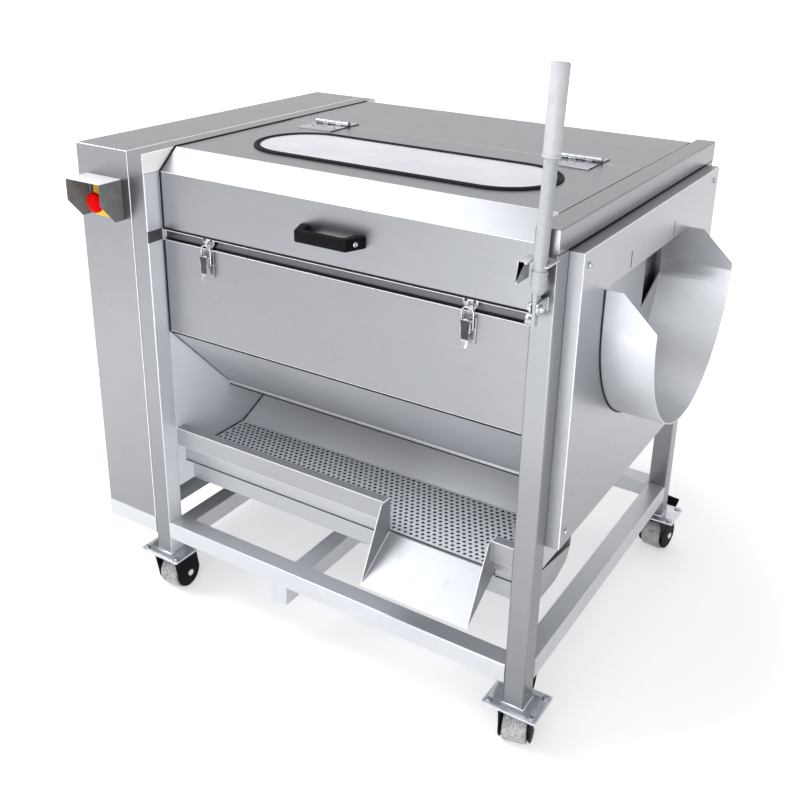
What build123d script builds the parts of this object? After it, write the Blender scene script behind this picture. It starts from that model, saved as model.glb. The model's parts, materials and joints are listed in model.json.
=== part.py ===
"""Brush-roller potato peeling machine on a wheeled square-tube stand.

Frame: millimetres, +Z up, X along the front from the drive cabinet to the
discharge side, +Y towards the back. The origin is on the floor, below the
centre of the machine's outer box.
"""
from build123d import *
from math import cos, radians, sin
import os

os.makedirs("parts", exist_ok=True)

# Stand and body envelope
tube = 40
tube_wall = 2
tube_corner = 3
sheet = 2
frame_width = 1024
frame_depth = 787
cabinet_width = 140
body_top = 986
rail_bottom = 144
foot_height = 104
overrun = 5
weld_gap = 0.05
soft_gap = 0.3
running_gap = 0.05
seam = 1

# Reach beyond the stand, which centres the outer box on the origin
scoop_reach = 116
hood_depth = 55
caster_plate_length = 105
caster_plate_width = 80
caster_plate_thick = 4

overall_length = frame_width + scoop_reach
pedal_reach = 84
pedal_width = 40
back_right_heading = 82
parked_heading = radians(back_right_heading)
parked_pedal = pedal_reach * sin(parked_heading) + pedal_width / 2 * cos(parked_heading)
back_reach = parked_pedal - tube / 2
overall_depth = frame_depth + hood_depth + back_reach
x_cabinet = -overall_length / 2
x_post_left = x_cabinet + cabinet_width
x_inner_left = x_post_left + tube
x_right = x_cabinet + frame_width
x_inner_right = x_right - tube
inner_width = x_inner_right - x_inner_left
x_middle = (x_inner_left + x_inner_right) / 2
y_front = -overall_depth / 2 + hood_depth
y_back = y_front + frame_depth
y_body_front = y_front + tube
y_body_back = y_back - tube
y_middle = (y_front + y_back) / 2
rail_top = rail_bottom + tube
top_rail_bottom = body_top - tube
x_post_centres = (x_post_left + tube / 2, x_right - tube / 2)
y_post_centres = (y_front + tube / 2, y_back - tube / 2)

# Cross bearers and the short middle leg of the base
bearer_left = x_inner_left
bearer_across = 490
middle_leg_across = 457
bearer_middle = x_cabinet + bearer_across
middle_leg_left = x_cabinet + middle_leg_across

# Body section, heights and depths behind the posts
chamfer_depth = 45
chamfer_drop = 40
lid_bottom = 834
panel_top = 811
header_setback = 9
header_top = 856
slope_top = 618
slope_run = 170
slope_drop = 178
lip_drop = 7
hinge_depth = 407
strainer_height = 325
strainer_back = 209
hopper_rise = 231
lid_side_drop = 22
lid_gap = 1

# Strainer, trough and their front beam
beam_height = 40
beam_depth = 21
beam_top = 396
strainer_wall_low = 309
strainer_wall_top = 355
strainer_hole = 4
strainer_pitch = 26
trough_step = 21
trough_front_low = 257
trough_floor = 238
trough_floor_front = 102
trough_floor_back = 165
trough_curve_depth = 213
trough_curve_height = 255
trough_back_depth = 229
trough_back_height = 281
drain_radius = 25
drain_bore = 22
drain_length = 38
wall_low = 257

# Spout
spout_across = 701
spout_left = x_cabinet + spout_across
spout_width = 224
spout_lip_depth = 78
spout_lip_height = 260
spout_floor_back = 18
spout_flange = 16
spout_wall_front = 10

# Side cover and scoop
cover_proud = 24.6
cover_low = 424
cover_screw_inset = 24
cover_screw_radius = 5
cover_screw_height = 3
slot_width = 4
slot_height = 30
slot_spacing = 227
scoop_centre_depth = 361
scoop_radius = 218
scoop_centre_height = 786
scoop_top = 857
scoop_flat = 76
scoop_free_top = 800
port_left = 480
port_right = 577
port_low_left = 708
port_low_right = 758
port_top = 846

# Gate, guides and the push-rod drive
gate_thick = 3
gate_left = 466
gate_right = 592
gate_over_rod = 12
gate_height = 162
guide_wide = 8
guide_below_gate = 10
rod_radius = 4
rod_from_wall = 9
rod_pad_radius = 7.5
rod_pad_thick = 3
rod_play = 1.4
rod_guide_depth = 400
rod_guide_size = 20
crank_depth = 448
crank_input = 20
crank_output = 85
crank_swing = 55
crank_thick = 5
crank_boss = 12
crank_arm_half = 4
crank_pin_radius = 5
crank_tip = 6
crank_input_tip = 5
crank_play = 0.5
crank_from_wall = 20
lug_play = 1
lug_wide = 16
lug_reach = 28
lug_high = 5
lug_tongue = 9
lug_from_crank = 77
end_plate_top = 838
spacer_size = 20
spacer_places = ((200, 660), (500, 640))

# Gate lever, its bracket and the notch bracket
lever_offset = 2
lever_pivot_drop = 116
lever_pivot_height = body_top - lever_pivot_drop
lever_pivot_depth = 28
lever_tube_radius = 10.5
lever_grip_radius = 14
lever_grip_length = 132
lever_length = 356
lever_tongue = 5
lever_tongue_half = 8
lever_tongue_top = 45
lever_collar_low = 40
lever_collar_high = 55
lever_collar_radius = 12
lever_heel = 24
rod_drop = 20
rod_height = lever_pivot_height - rod_drop
lever_heel_pin = 4
lever_lean = 4
ear_thick = 3
ear_gap = 8
ear_half = 11
lever_bolt_radius = 4
bolt_head_radius = 6
bolt_head_height = 4
notch_drop = 45
notch_height = body_top - notch_drop
notch_wide = 50
notch_reach = 42
notch_thick = 2.5
notch_slot = 26
notch_flange = 34

# Lid fittings
window_length = 640
window_width = 210
window_centre_depth = 251
window_across = 591
gasket_width = 13
gasket_height = 5
pane_thick = 4
handle_across = 588
handle_length = 140
handle_height = 22
handle_reach = 40
handle_centre_height = 890
handle_bar = 12
handle_screw = 5
latch_across = 579
latch_spacing = 564
latch_width = 28
latch_base_low = 757
latch_base_high = 803
latch_thick = 1.5
latch_pivot_height = 797
latch_pivot_out = 9
latch_over_pin = 3.5
latch_lug_half = 4
catch_shoulder = 823
catch_half = 6
latch_lever_length = 38
latch_lever_width = 18
latch_pin = 2.5
bail_wire = 1.6
bail_top = 822
hinge_spacing = 572
hinge_leaf = 85
hinge_leaf_thick = 2
hinge_barrel = 5
hinge_pin = 3
knuckle_count = 5

# Stop switch
hood_left = 27
hood_width = 92
hood_above_button = 47
hood_below_button = 34
hood_front_drop = 43
hood_slant = 33
hood_sheet = 1.5
label_width = 66
label_height = 70
label_thick = 1.5
button_drop = 104
button_height = body_top - button_drop
button_radius = 20
button_head = 11
button_stem = 11
button_reach = 34
button_travel = 4

# Brush rollers and their drive
roller_count = 7
roller_pitch_angle = 25.2
roller_arc_radius = 262
roller_arc_height = 760
brush_radius = 54
brush_core = 24
brush_end_gap = 6
shaft_radius = 10
bearing_radius = 30
bearing_thick = 12
bearing_flange = 4
sprocket_pitch_radius = 30.5
sprocket_teeth = 15
sprocket_roller = 4.2
sprocket_thick = 7
sprocket_inset = 112
shaft_drive_end = 106
chain_thick = 6
chain_width = 10
motor_drop = 106
motor_height = body_top - motor_drop
motor_radius = 58
motor_length = 66
motor_shaft = 10
motor_left = 12

# Water inlet and cable gland
spray_radius = 11
spray_bore = 9
spray_depth = 560
spray_height = 935
inlet_across = 500
inlet_radius = 13
inlet_reach = 24
gland_radius = 11
gland_drop = 24
gland_across = 70
gland_depth = 700

# Casters
wheel_radius = 37.5
wheel_width = 46
wheel_edge = 5
wheel_cover = 29
wheel_cover_depth = 2
axle_radius = 4
caster_trail = 20
race_radius = 27
race_height = 8
fork_plate = 4
fork_leg = 3
fork_leg_gap = 1.5
fork_front = 24
fork_back = 44
fork_shield = 33
king_pin = 6
plate_bolt_radius = 5
plate_bolt_height = 3
plate_bolt_inset = 10
pedal_bend = 68
pedal_rise = 12
pedal_thick = 5
caster_headings = {"front_left": 92, "front_right": 104, "back_right": back_right_heading, "back_left": 10}

# Places that several pieces share
x_rod = x_inner_right + sheet + rod_from_wall
z_plate_top = foot_height
z_plate_low = foot_height - caster_plate_thick
y_lid_front = y_body_front
y_hinge = y_body_front + hinge_depth
y_slope = y_body_front + slope_run
z_slope = slope_top - slope_drop
y_strainer_back = y_body_front + strainer_back
y_beam_back = y_body_front + beam_depth
y_tray_wall = y_beam_back + seam
x_scoop_back = x_inner_right + tube / 2 - seam
y_scoop = y_front + scoop_centre_depth
x_cover = x_right + cover_proud
y_pivot = y_front - lever_pivot_depth
x_lever = x_post_centres[1] + lever_offset
hopper_back_height = strainer_height + hopper_rise
gate_top = rod_height + gate_over_rod
gate_low = gate_top - gate_height
guide_low = gate_low - guide_below_gate
guide_top = top_rail_bottom - 2 * sheet
hood_top = button_height + hood_above_button
hood_low = button_height - hood_below_button


def roller_place(index):
    """Y and Z of a roller's axis, on an arc below the drum's centre."""
    angle = radians((index - (roller_count - 1) / 2) * roller_pitch_angle)
    return (
        y_middle + roller_arc_radius * sin(angle),
        roller_arc_height - roller_arc_radius * cos(angle),
    )


roller_places = [roller_place(index) for index in range(roller_count)]


def section_plane(x):
    """A plane across the machine at x, whose sketch axes are Y and Z."""
    return Plane(origin=(x, 0, 0), x_dir=(0, 1, 0), z_dir=(1, 0, 0))


def side_plane(y):
    """A plane along the machine at y, facing the front, with axes X and Z."""
    return Plane(origin=(0, y, 0), x_dir=(1, 0, 0), z_dir=(0, -1, 0))


def slab(low, high, mode=Mode.ADD):
    """A straight block between two corners, in the part being built."""
    centre = [(a + b) / 2 for a, b in zip(low, high)]
    size = [b - a for a, b in zip(low, high)]
    with Locations(tuple(centre)):
        Box(*size, mode=mode)


def folded_sheet(points, thickness, x_start, length, mode=Mode.ADD):
    """A folded sheet of one thickness along X, from the outline of its left side."""
    with BuildSketch(section_plane(x_start)) as outline:
        with BuildLine():
            Polyline(*points)
            offset(amount=abs(thickness), side=Side.LEFT if thickness > 0 else Side.RIGHT)
        make_face()
    extrude(outline.sketch, amount=length, mode=mode)


def trough_block(radius, top, x_start, length, mode=Mode.ADD):
    """A half-round block with straight sides above, along X."""
    with BuildSketch(section_plane(x_start)) as outline:
        with Locations((y_scoop, scoop_centre_height)):
            Circle(radius)
        with Locations((y_scoop, scoop_centre_height + radius / 2)):
            Rectangle(2 * radius, radius)
        with Locations((y_scoop, top + radius)):
            Rectangle(4 * radius, 2 * radius, mode=Mode.SUBTRACT)
    extrude(outline.sketch, amount=length, mode=mode)


def rail_along_x(x_low, x_high, y_centre, z_centre):
    """A square tube along X, open at both ends."""
    start = Plane(origin=(x_low, y_centre, z_centre), x_dir=(0, 1, 0), z_dir=(1, 0, 0))
    with BuildSketch(start) as outline:
        RectangleRounded(tube, tube, tube_corner)
    extrude(outline.sketch, amount=x_high - x_low)


def rail_along_y(y_low, y_high, x_centre, z_centre):
    """A square tube along Y, open at both ends."""
    start = Plane(origin=(x_centre, y_low, z_centre), x_dir=(-1, 0, 0), z_dir=(0, 1, 0))
    with BuildSketch(start) as outline:
        RectangleRounded(tube, tube, tube_corner)
    extrude(outline.sketch, amount=y_high - y_low)


# Uprights with their top side rails
core = tube / 2 - tube_wall
top_rail_centre = body_top - tube / 2
with BuildPart() as upright_frame:
    with BuildSketch(Plane.XY.offset(foot_height)):
        for x in x_post_centres:
            for y in y_post_centres:
                with Locations((x, y)):
                    RectangleRounded(tube, tube, tube_corner)
    extrude(amount=top_rail_bottom - foot_height)
    for x in x_post_centres:
        rail_along_y(y_front, y_back, x, top_rail_centre)
        slab(
            (x - core, y_front + tube_wall, top_rail_centre - core),
            (x + core, y_back - tube_wall, top_rail_centre + core),
            Mode.SUBTRACT,
        )
        for y in y_post_centres:
            slab(
                (x - core, y - core, foot_height - overrun),
                (x + core, y + core, top_rail_centre),
                Mode.SUBTRACT,
            )
    with BuildSketch(side_plane(y_front)):
        with Locations((x_rod, rod_height)):
            Circle(rod_radius + soft_gap)
    extrude(amount=-tube, mode=Mode.SUBTRACT)
upright_frame.part.label = "upright_frame"
export_step(upright_frame.part, "parts/upright_frame.step")

# Base rails, cross bearers and the short middle leg
base_rail_height = rail_bottom + tube / 2
x_spans = ((x_cabinet, x_post_left), (x_inner_left, x_inner_right))
x_bearers = (x_cabinet + tube / 2, bearer_left + tube / 2, bearer_middle + tube / 2)
with BuildPart() as base_rails:
    for y in y_post_centres:
        for span in x_spans:
            rail_along_x(span[0], span[1], y, base_rail_height)
    for x in x_bearers:
        rail_along_y(y_body_front - tube_corner, y_body_back + tube_corner, x, base_rail_height)
    rail_along_y(y_body_front, y_body_back, x_post_centres[1], base_rail_height)
    slab(
        (middle_leg_left, y_front, foot_height),
        (middle_leg_left + tube, y_body_front, rail_bottom + tube_corner),
    )
    for y in y_post_centres:
        for span in x_spans:
            slab(
                (span[0] - overrun, y - core, base_rail_height - core),
                (span[1] + overrun, y + core, base_rail_height + core),
                Mode.SUBTRACT,
            )
    for x in x_bearers:
        slab(
            (x - core, y_body_front - tube / 2, base_rail_height - core),
            (x + core, y_body_back + tube / 2, base_rail_height + core),
            Mode.SUBTRACT,
        )
    slab(
        (x_post_centres[1] - core, y_body_front - overrun, base_rail_height - core),
        (x_post_centres[1] + core, y_body_back + overrun, base_rail_height + core),
        Mode.SUBTRACT,
    )
    slab(
        (middle_leg_left + tube_wall, y_front + tube_wall, foot_height + tube_wall),
        (middle_leg_left + tube - tube_wall, y_body_front - tube_wall, rail_bottom),
        Mode.SUBTRACT,
    )
base_rails.part.label = "base_rails"
export_step(base_rails.part, "parts/base_rails.step")

# Drive cabinet: a folded shell whose left side is the service panel
cabinet_border = 60
stem_hole = button_stem + soft_gap
x_button = x_cabinet + hood_left + hood_width / 2 + seam
x_gland = x_cabinet + gland_across
y_gland = y_front + gland_depth
with BuildPart() as drive_cabinet:
    slab((x_cabinet + sheet, y_front, rail_top), (x_post_left, y_back, body_top))
    slab(
        (x_cabinet - overrun, y_front + sheet, rail_top + sheet),
        (x_post_left - sheet, y_back - sheet, body_top - sheet),
        Mode.SUBTRACT,
    )
    slab(
        (x_post_left - sheet - overrun, y_body_front, rail_top + cabinet_border),
        (x_post_left + overrun, y_body_back, top_rail_bottom - cabinet_border / 2),
        Mode.SUBTRACT,
    )
    with BuildSketch(side_plane(y_front)):
        with Locations((x_button, button_height)):
            Circle(stem_hole)
    extrude(amount=-sheet, mode=Mode.SUBTRACT)
    with BuildSketch(Plane.XY.offset(rail_top)):
        with Locations((x_gland, y_gland)):
            Circle(gland_radius / 2)
    extrude(amount=sheet, mode=Mode.SUBTRACT)
drive_cabinet.part.label = "drive_cabinet"
export_step(drive_cabinet.part, "parts/drive_cabinet.step")

# Service panel that closes the drive cabinet
with BuildPart() as service_panel:
    slab((x_cabinet, y_front, rail_top), (x_cabinet + sheet, y_back, body_top))
service_panel.part.label = "service_panel"
export_step(service_panel.part, "parts/service_panel.step")


def shaft_holes(x):
    """Clearance holes for the roller shafts through an end wall at x."""
    with BuildSketch(section_plane(x)) as holes:
        with Locations(*roller_places):
            Circle(shaft_radius + sheet)
    extrude(holes.sketch, amount=sheet, mode=Mode.SUBTRACT)


# End walls: the left one faces the drive, the right one has the discharge port
port_points = (
    (y_front + port_left, port_top),
    (y_front + port_right, port_top),
    (y_front + port_right, port_low_right),
    (y_front + port_left, port_low_left),
)
wall_foot_back = y_strainer_back + trough_step
with BuildPart() as end_walls:
    slab((x_inner_left - sheet, y_body_front, wall_low), (x_inner_left, y_body_back, top_rail_bottom))
    shaft_holes(x_inner_left - sheet)
    with BuildSketch(section_plane(x_inner_right)):
        with BuildLine():
            Polyline(
                (y_body_front, top_rail_bottom),
                (y_body_back, top_rail_bottom),
                (y_body_back, hopper_back_height - trough_step),
                (wall_foot_back, strainer_wall_low),
                (y_body_front, strainer_wall_low),
                close=True,
            )
        make_face()
    extrude(amount=sheet)
    shaft_holes(x_inner_right)
    with BuildSketch(section_plane(x_inner_right)):
        Polygon(*port_points, align=None)
    extrude(amount=sheet, mode=Mode.SUBTRACT)
end_walls.part.label = "end_walls"
export_step(end_walls.part, "parts/end_walls.step")

# Rear panel: one sheet folded from the hinge line over the top and down the back
x_inlet = x_cabinet + inlet_across
y_spray = y_front + spray_depth
with BuildPart() as rear_panel:
    folded_sheet(
        (
            (y_hinge + lid_gap, body_top - lid_side_drop),
            (y_hinge + lid_gap, body_top),
            (y_body_back, body_top),
            (y_body_back, hopper_back_height - trough_step),
        ),
        -sheet,
        x_inner_left,
        inner_width,
    )
    with BuildSketch(side_plane(y_body_back - sheet)):
        with Locations((x_inlet, spray_height)):
            Circle(spray_radius + soft_gap)
    extrude(amount=-sheet, mode=Mode.SUBTRACT)
rear_panel.part.label = "rear_panel"
export_step(rear_panel.part, "parts/rear_panel.step")

# Lower front panel: recessed header, front face, underside slope and lip
with BuildPart() as lower_front_panel:
    folded_sheet(
        (
            (y_slope, z_slope - lip_drop),
            (y_slope, z_slope),
            (y_body_front, slope_top),
            (y_body_front, panel_top),
            (y_body_front + header_setback, panel_top),
            (y_body_front + header_setback, header_top),
        ),
        -sheet,
        x_inner_left,
        inner_width,
    )
lower_front_panel.part.label = "lower_front_panel"
export_step(lower_front_panel.part, "parts/lower_front_panel.step")

# Hopper plate: slopes from the rear wall down to the strainer
with BuildPart() as hopper_plate:
    folded_sheet(
        (
            (y_body_back - 2 * sheet, hopper_back_height + trough_step),
            (y_body_back - 2 * sheet, hopper_back_height),
            (y_strainer_back, strainer_height),
            (y_strainer_back, strainer_height - lip_drop),
        ),
        sheet,
        x_inner_left,
        inner_width,
    )
hopper_plate.part.label = "hopper_plate"
export_step(hopper_plate.part, "parts/hopper_plate.step")

# Strainer tray: a perforated floor behind a low front wall
floor_length = y_strainer_back - y_tray_wall
hole_columns = int((inner_width - strainer_pitch) / strainer_pitch)
hole_rows = int((floor_length - strainer_pitch) / strainer_pitch)
with BuildPart() as strainer_tray:
    slab(
        (x_inner_left, y_tray_wall, strainer_height - sheet),
        (x_inner_right, y_strainer_back, strainer_height),
    )
    for span in ((x_inner_left, spout_left), (spout_left + spout_width, x_inner_right)):
        slab(
            (span[0], y_tray_wall, strainer_wall_low + sheet),
            (span[1], y_tray_wall + sheet, strainer_wall_top),
        )
    with BuildSketch(Plane.XY.offset(strainer_height)):
        with Locations((x_middle, y_tray_wall + floor_length / 2)):
            with GridLocations(strainer_pitch, strainer_pitch, hole_columns, hole_rows):
                Circle(strainer_hole)
    extrude(amount=-sheet, mode=Mode.SUBTRACT)
strainer_tray.part.label = "strainer_tray"
export_step(strainer_tray.part, "parts/strainer_tray.step")

# Front beam above the tray, parted for the spout
with BuildPart() as tray_beam:
    for span in ((x_inner_left, spout_left), (spout_left + spout_width, x_inner_right)):
        slab((span[0], y_body_front, beam_top - beam_height), (span[1], y_beam_back, beam_top))
        slab(
            (span[0] - overrun, y_body_front + sheet, beam_top - beam_height + sheet),
            (span[1] + overrun, y_beam_back - sheet, beam_top - sheet),
            Mode.SUBTRACT,
        )
tray_beam.part.label = "tray_beam"
export_step(tray_beam.part, "parts/tray_beam.step")

# Water trough under the strainer, with its drain stub
trough_points = (
    (y_tray_wall, strainer_wall_low),
    (y_tray_wall + trough_step, strainer_wall_low),
    (y_tray_wall + trough_step, trough_front_low),
    (y_body_front + trough_floor_front, trough_floor),
    (y_body_front + trough_floor_back, trough_floor),
    (y_body_front + trough_curve_depth, trough_curve_height),
    (y_body_front + trough_back_depth, trough_back_height),
    (y_body_front + trough_back_depth, strainer_height + 2 * sheet),
)
y_drain = y_body_front + (trough_floor_front + trough_floor_back) / 2
with BuildPart() as water_trough:
    folded_sheet(trough_points, sheet, x_inner_left, inner_width)
    for x in (x_inner_left, x_inner_right - sheet):
        with BuildSketch(section_plane(x)):
            with BuildLine():
                Polyline(*trough_points[1:-1], close=True)
            make_face()
        extrude(amount=sheet)
    with BuildSketch(Plane.XY.offset(trough_floor)):
        with Locations((x_middle, y_drain)):
            Circle(drain_radius)
    extrude(amount=-drain_length)
    with BuildSketch(Plane.XY.offset(trough_floor + overrun)):
        with Locations((x_middle, y_drain)):
            Circle(drain_bore)
    extrude(amount=-drain_length - 2 * overrun, mode=Mode.SUBTRACT)
water_trough.part.label = "water_trough"
export_step(water_trough.part, "parts/water_trough.step")

# Discharge spout: sloping floor between two side walls
y_lip = y_body_front - spout_lip_depth
y_spout_floor = y_body_front + spout_floor_back
z_spout_floor = strainer_height - 2 * sheet
y_spout_wall = y_body_front - spout_wall_front
spout_side = (
    (y_beam_back, z_spout_floor),
    (y_lip, spout_lip_height),
    (y_spout_wall, beam_top),
    (y_beam_back, beam_top),
)
with BuildPart() as discharge_spout:
    for x in (spout_left, spout_left + spout_width - sheet):
        with BuildSketch(section_plane(x)):
            with BuildLine():
                Polyline(*spout_side, close=True)
            make_face()
        extrude(amount=sheet)
    folded_sheet(
        (
            (y_lip, spout_lip_height),
            (y_spout_floor, z_spout_floor),
            (y_spout_floor + spout_flange, z_spout_floor),
        ),
        sheet,
        spout_left + sheet,
        spout_width - 2 * sheet,
    )
discharge_spout.part.label = "discharge_spout"
export_step(discharge_spout.part, "parts/discharge_spout.step")

# Side cover: a shallow box between the right posts with an opening for the scoop
cover_return = x_right - tube + 2 * sheet
z_cover_top = top_rail_bottom - sheet
with BuildPart() as side_cover:
    slab((cover_return, y_body_front, cover_low), (x_cover, y_body_back, z_cover_top))
    slab(
        (cover_return - overrun, y_body_front + sheet, cover_low + sheet),
        (x_cover - sheet, y_body_back - sheet, z_cover_top - sheet),
        Mode.SUBTRACT,
    )
    trough_block(scoop_radius + weld_gap, scoop_top + weld_gap, x_right, cover_proud + overrun, Mode.SUBTRACT)
    for y in (y_middle - slot_spacing / 2 - cover_screw_inset, y_middle + slot_spacing / 2 - cover_screw_inset):
        slab(
            (x_right, y - slot_width / 2, scoop_top + cover_screw_radius),
            (x_cover + overrun, y + slot_width / 2, scoop_top + cover_screw_radius + slot_height),
            Mode.SUBTRACT,
        )
    with BuildSketch(side_plane(y_body_front)):
        with Locations((x_rod, rod_height)):
            Circle(rod_radius + soft_gap)
    extrude(amount=-sheet, mode=Mode.SUBTRACT)
side_cover.part.label = "side_cover"
export_step(side_cover.part, "parts/side_cover.step")

# Screw heads at the corners of the side cover
y_screws = (y_body_front + cover_screw_inset, y_body_back - cover_screw_inset)
z_screws = (cover_low + cover_screw_inset, z_cover_top - cover_screw_inset)
with BuildPart() as cover_screws:
    with BuildSketch(section_plane(x_cover)):
        for y in y_screws:
            for z in z_screws:
                with Locations((y, z)):
                    Circle(cover_screw_radius)
    extrude(amount=cover_screw_height)
cover_screws.part.label = "cover_screws"
export_step(cover_screws.part, "parts/cover_screws.step")

# Scoop: a half-round trough on the discharge port, with its end plate
x_tip = x_cabinet + overall_length
with BuildPart() as scoop:
    trough_block(scoop_radius, scoop_top, x_scoop_back, x_tip - x_scoop_back)
    trough_block(scoop_radius - sheet, scoop_top + overrun, x_scoop_back - overrun, x_tip, Mode.SUBTRACT)
    with BuildSketch(side_plane(y_scoop - scoop_radius - overrun)):
        with BuildLine():
            Polyline(
                (x_tip + overrun, scoop_free_top),
                (x_tip, scoop_free_top),
                (x_scoop_back + scoop_flat, scoop_top),
                (x_scoop_back + scoop_flat, scoop_top + overrun),
                (x_tip + overrun, scoop_top + overrun),
                close=True,
            )
        make_face()
    extrude(amount=-2 * (scoop_radius + overrun), mode=Mode.SUBTRACT)
    trough_block(scoop_radius, end_plate_top, x_scoop_back - sheet, sheet)
    with BuildSketch(section_plane(x_scoop_back - sheet)):
        Polygon(*port_points, align=None)
    extrude(amount=sheet, mode=Mode.SUBTRACT)
scoop.part.label = "scoop"
export_step(scoop.part, "parts/scoop.step")

# Gate drive geometry: the rod's stroke follows the lever, the crank lifts the gate
half_swing = radians(crank_swing / 2)
y_crank = y_front + crank_depth
z_crank = rod_height + crank_input
crank_input_rest = (
    y_crank - crank_input * sin(half_swing),
    z_crank - crank_input * cos(half_swing),
)
crank_output_rest = (
    y_crank + crank_output * cos(half_swing),
    z_crank - crank_output * sin(half_swing),
)
x_crank = x_inner_right + sheet + crank_from_wall
y_rod_front = y_pivot + lever_heel_pin + rod_play
y_rod_back = crank_input_rest[0] - crank_input_tip - crank_play
x_wall = x_inner_right + sheet
y_rod_guide = y_front + rod_guide_depth

# Gate plate with the lug that the crank lifts
y_gate_left = y_front + gate_left
y_gate_right = y_front + gate_right
y_lug = y_crank + lug_from_crank
z_tongue = crank_output_rest[1] + crank_tip + lug_play
with BuildPart() as gate:
    slab(
        (x_wall + soft_gap, y_gate_left + soft_gap, gate_low),
        (x_wall + soft_gap + gate_thick, y_gate_right - soft_gap, gate_top),
    )
    slab(
        (x_wall + soft_gap, y_lug, gate_top - lug_high),
        (x_wall + lug_reach, y_lug + lug_wide, gate_top),
    )
    slab(
        (x_wall + lug_reach - lug_tongue, y_lug, z_tongue),
        (x_wall + lug_reach, y_lug + lug_wide, gate_top),
    )
gate.part.label = "gate"
export_step(gate.part, "parts/gate.step")

# Gate guides, the rod guide, spacers behind the scoop and the crank's pin
# The left guide has a notch where the crank's input pin swings through it
notch_low_edge = z_crank - crank_input - crank_input_tip - lug_play
notch_high_edge = crank_input_rest[1] + crank_input_tip + lug_play
with BuildPart() as gate_guides:
    for y in (y_gate_left - guide_wide, y_gate_right):
        slab((x_wall, y, guide_low), (x_scoop_back - sheet, y + guide_wide, guide_top))
    slab(
        (x_rod - rod_radius - soft_gap, y_gate_left - guide_wide - overrun, notch_low_edge),
        (x_scoop_back, y_gate_left + overrun, notch_high_edge),
        Mode.SUBTRACT,
    )
    slab(
        (x_wall, y_rod_guide, rod_height - rod_guide_size / 2),
        (x_rod + rod_guide_size / 2, y_rod_guide + rod_guide_size, rod_height + rod_guide_size / 2),
    )
    slab(
        (x_scoop_back - sheet, y_rod_guide - overrun, end_plate_top + soft_gap),
        (x_scoop_back + overrun, y_rod_guide + 2 * rod_guide_size, z_cover_top),
        Mode.SUBTRACT,
    )
    for place in spacer_places:
        slab(
            (x_wall, y_front + place[0], place[1]),
            (x_scoop_back - sheet, y_front + place[0] + spacer_size, place[1] + spacer_size),
        )
    with BuildSketch(section_plane(x_wall)):
        with Locations((y_crank, z_crank)):
            Circle(crank_pin_radius)
    extrude(amount=crank_from_wall + crank_thick + 2 * sheet)
    with BuildSketch(side_plane(y_rod_guide)):
        with Locations((x_rod, rod_height)):
            Circle(rod_radius + running_gap)
    extrude(amount=-rod_guide_size, mode=Mode.SUBTRACT)
gate_guides.part.label = "gate_guides"
export_step(gate_guides.part, "parts/gate_guides.step")

# Push rod between the gate lever and the bell crank
with BuildPart() as push_rod:
    with BuildSketch(side_plane(y_rod_front)):
        with Locations((x_rod, rod_height)):
            Circle(rod_radius)
    extrude(amount=y_rod_front - y_rod_back)
    with BuildSketch(side_plane(y_rod_front)):
        with Locations((x_rod, rod_height)):
            Circle(rod_pad_radius)
    extrude(amount=-rod_pad_thick)
push_rod.part.label = "push_rod"
export_step(push_rod.part, "parts/push_rod.step")

# Bell crank: a short arm to the rod and a long arm under the gate's lug
with BuildPart() as bell_crank:
    with BuildSketch(section_plane(x_crank)):
        with Locations((y_crank, z_crank)):
            Circle(crank_boss)
            with Locations(Rotation(0, 0, -crank_swing / 2)):
                with Locations((crank_output / 2, 0)):
                    Rectangle(crank_output, 2 * crank_arm_half)
                with Locations((crank_output, 0)):
                    Circle(crank_tip)
                with Locations((0, -crank_input / 2)):
                    Rectangle(2 * crank_arm_half, crank_input)
        with Locations(crank_input_rest):
            Circle(crank_input_tip)
        with Locations((y_crank, z_crank)):
            Circle(crank_pin_radius + running_gap, mode=Mode.SUBTRACT)
    extrude(amount=crank_thick)
    with BuildSketch(section_plane(x_rod - rod_radius)):
        with Locations(crank_input_rest):
            Circle(crank_input_tip)
    extrude(amount=x_crank - x_rod + rod_radius)
bell_crank.part.label = "bell_crank"
export_step(bell_crank.part, "parts/bell_crank.step")

# Gate lever: blade with a heel pin, collar and tube
lean = radians(lever_lean)
lever_axis = Plane(
    origin=(x_lever, y_pivot, lever_pivot_height),
    x_dir=(1, 0, 0),
    z_dir=(0, sin(lean), cos(lean)),
)
grip_low = lever_length - lever_grip_length
blade_low = lever_pivot_height - lever_heel - lever_heel_pin / 2
blade_high = lever_pivot_height + lever_tongue_top
with BuildPart() as gate_lever:
    slab(
        (x_lever - lever_tongue / 2, y_pivot - lever_tongue_half, blade_low),
        (x_lever + lever_tongue / 2, y_pivot + lever_heel_pin, lever_pivot_height),
    )
    slab(
        (x_lever - lever_tongue / 2, y_pivot - lever_tongue_half, lever_pivot_height),
        (x_lever + lever_tongue / 2, y_pivot + lever_tongue_half, blade_high),
    )
    with BuildSketch(section_plane(x_rod - rod_radius)):
        with Locations((y_pivot, lever_pivot_height - lever_heel)):
            Circle(lever_heel_pin)
    extrude(amount=x_lever + lever_tongue / 2 - x_rod + rod_radius)
    with BuildSketch(lever_axis.offset(lever_collar_low)):
        Circle(lever_collar_radius)
    extrude(amount=lever_collar_high - lever_collar_low)
    with BuildSketch(lever_axis.offset(lever_collar_high)):
        Circle(lever_tube_radius)
    extrude(amount=lever_length - lever_collar_high - sheet)
    with BuildSketch(section_plane(x_lever - lever_tongue / 2)):
        with Locations((y_pivot, lever_pivot_height)):
            Circle(lever_bolt_radius + running_gap)
    extrude(amount=lever_tongue, mode=Mode.SUBTRACT)
gate_lever.part.label = "gate_lever"
export_step(gate_lever.part, "parts/gate_lever.step")

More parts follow.
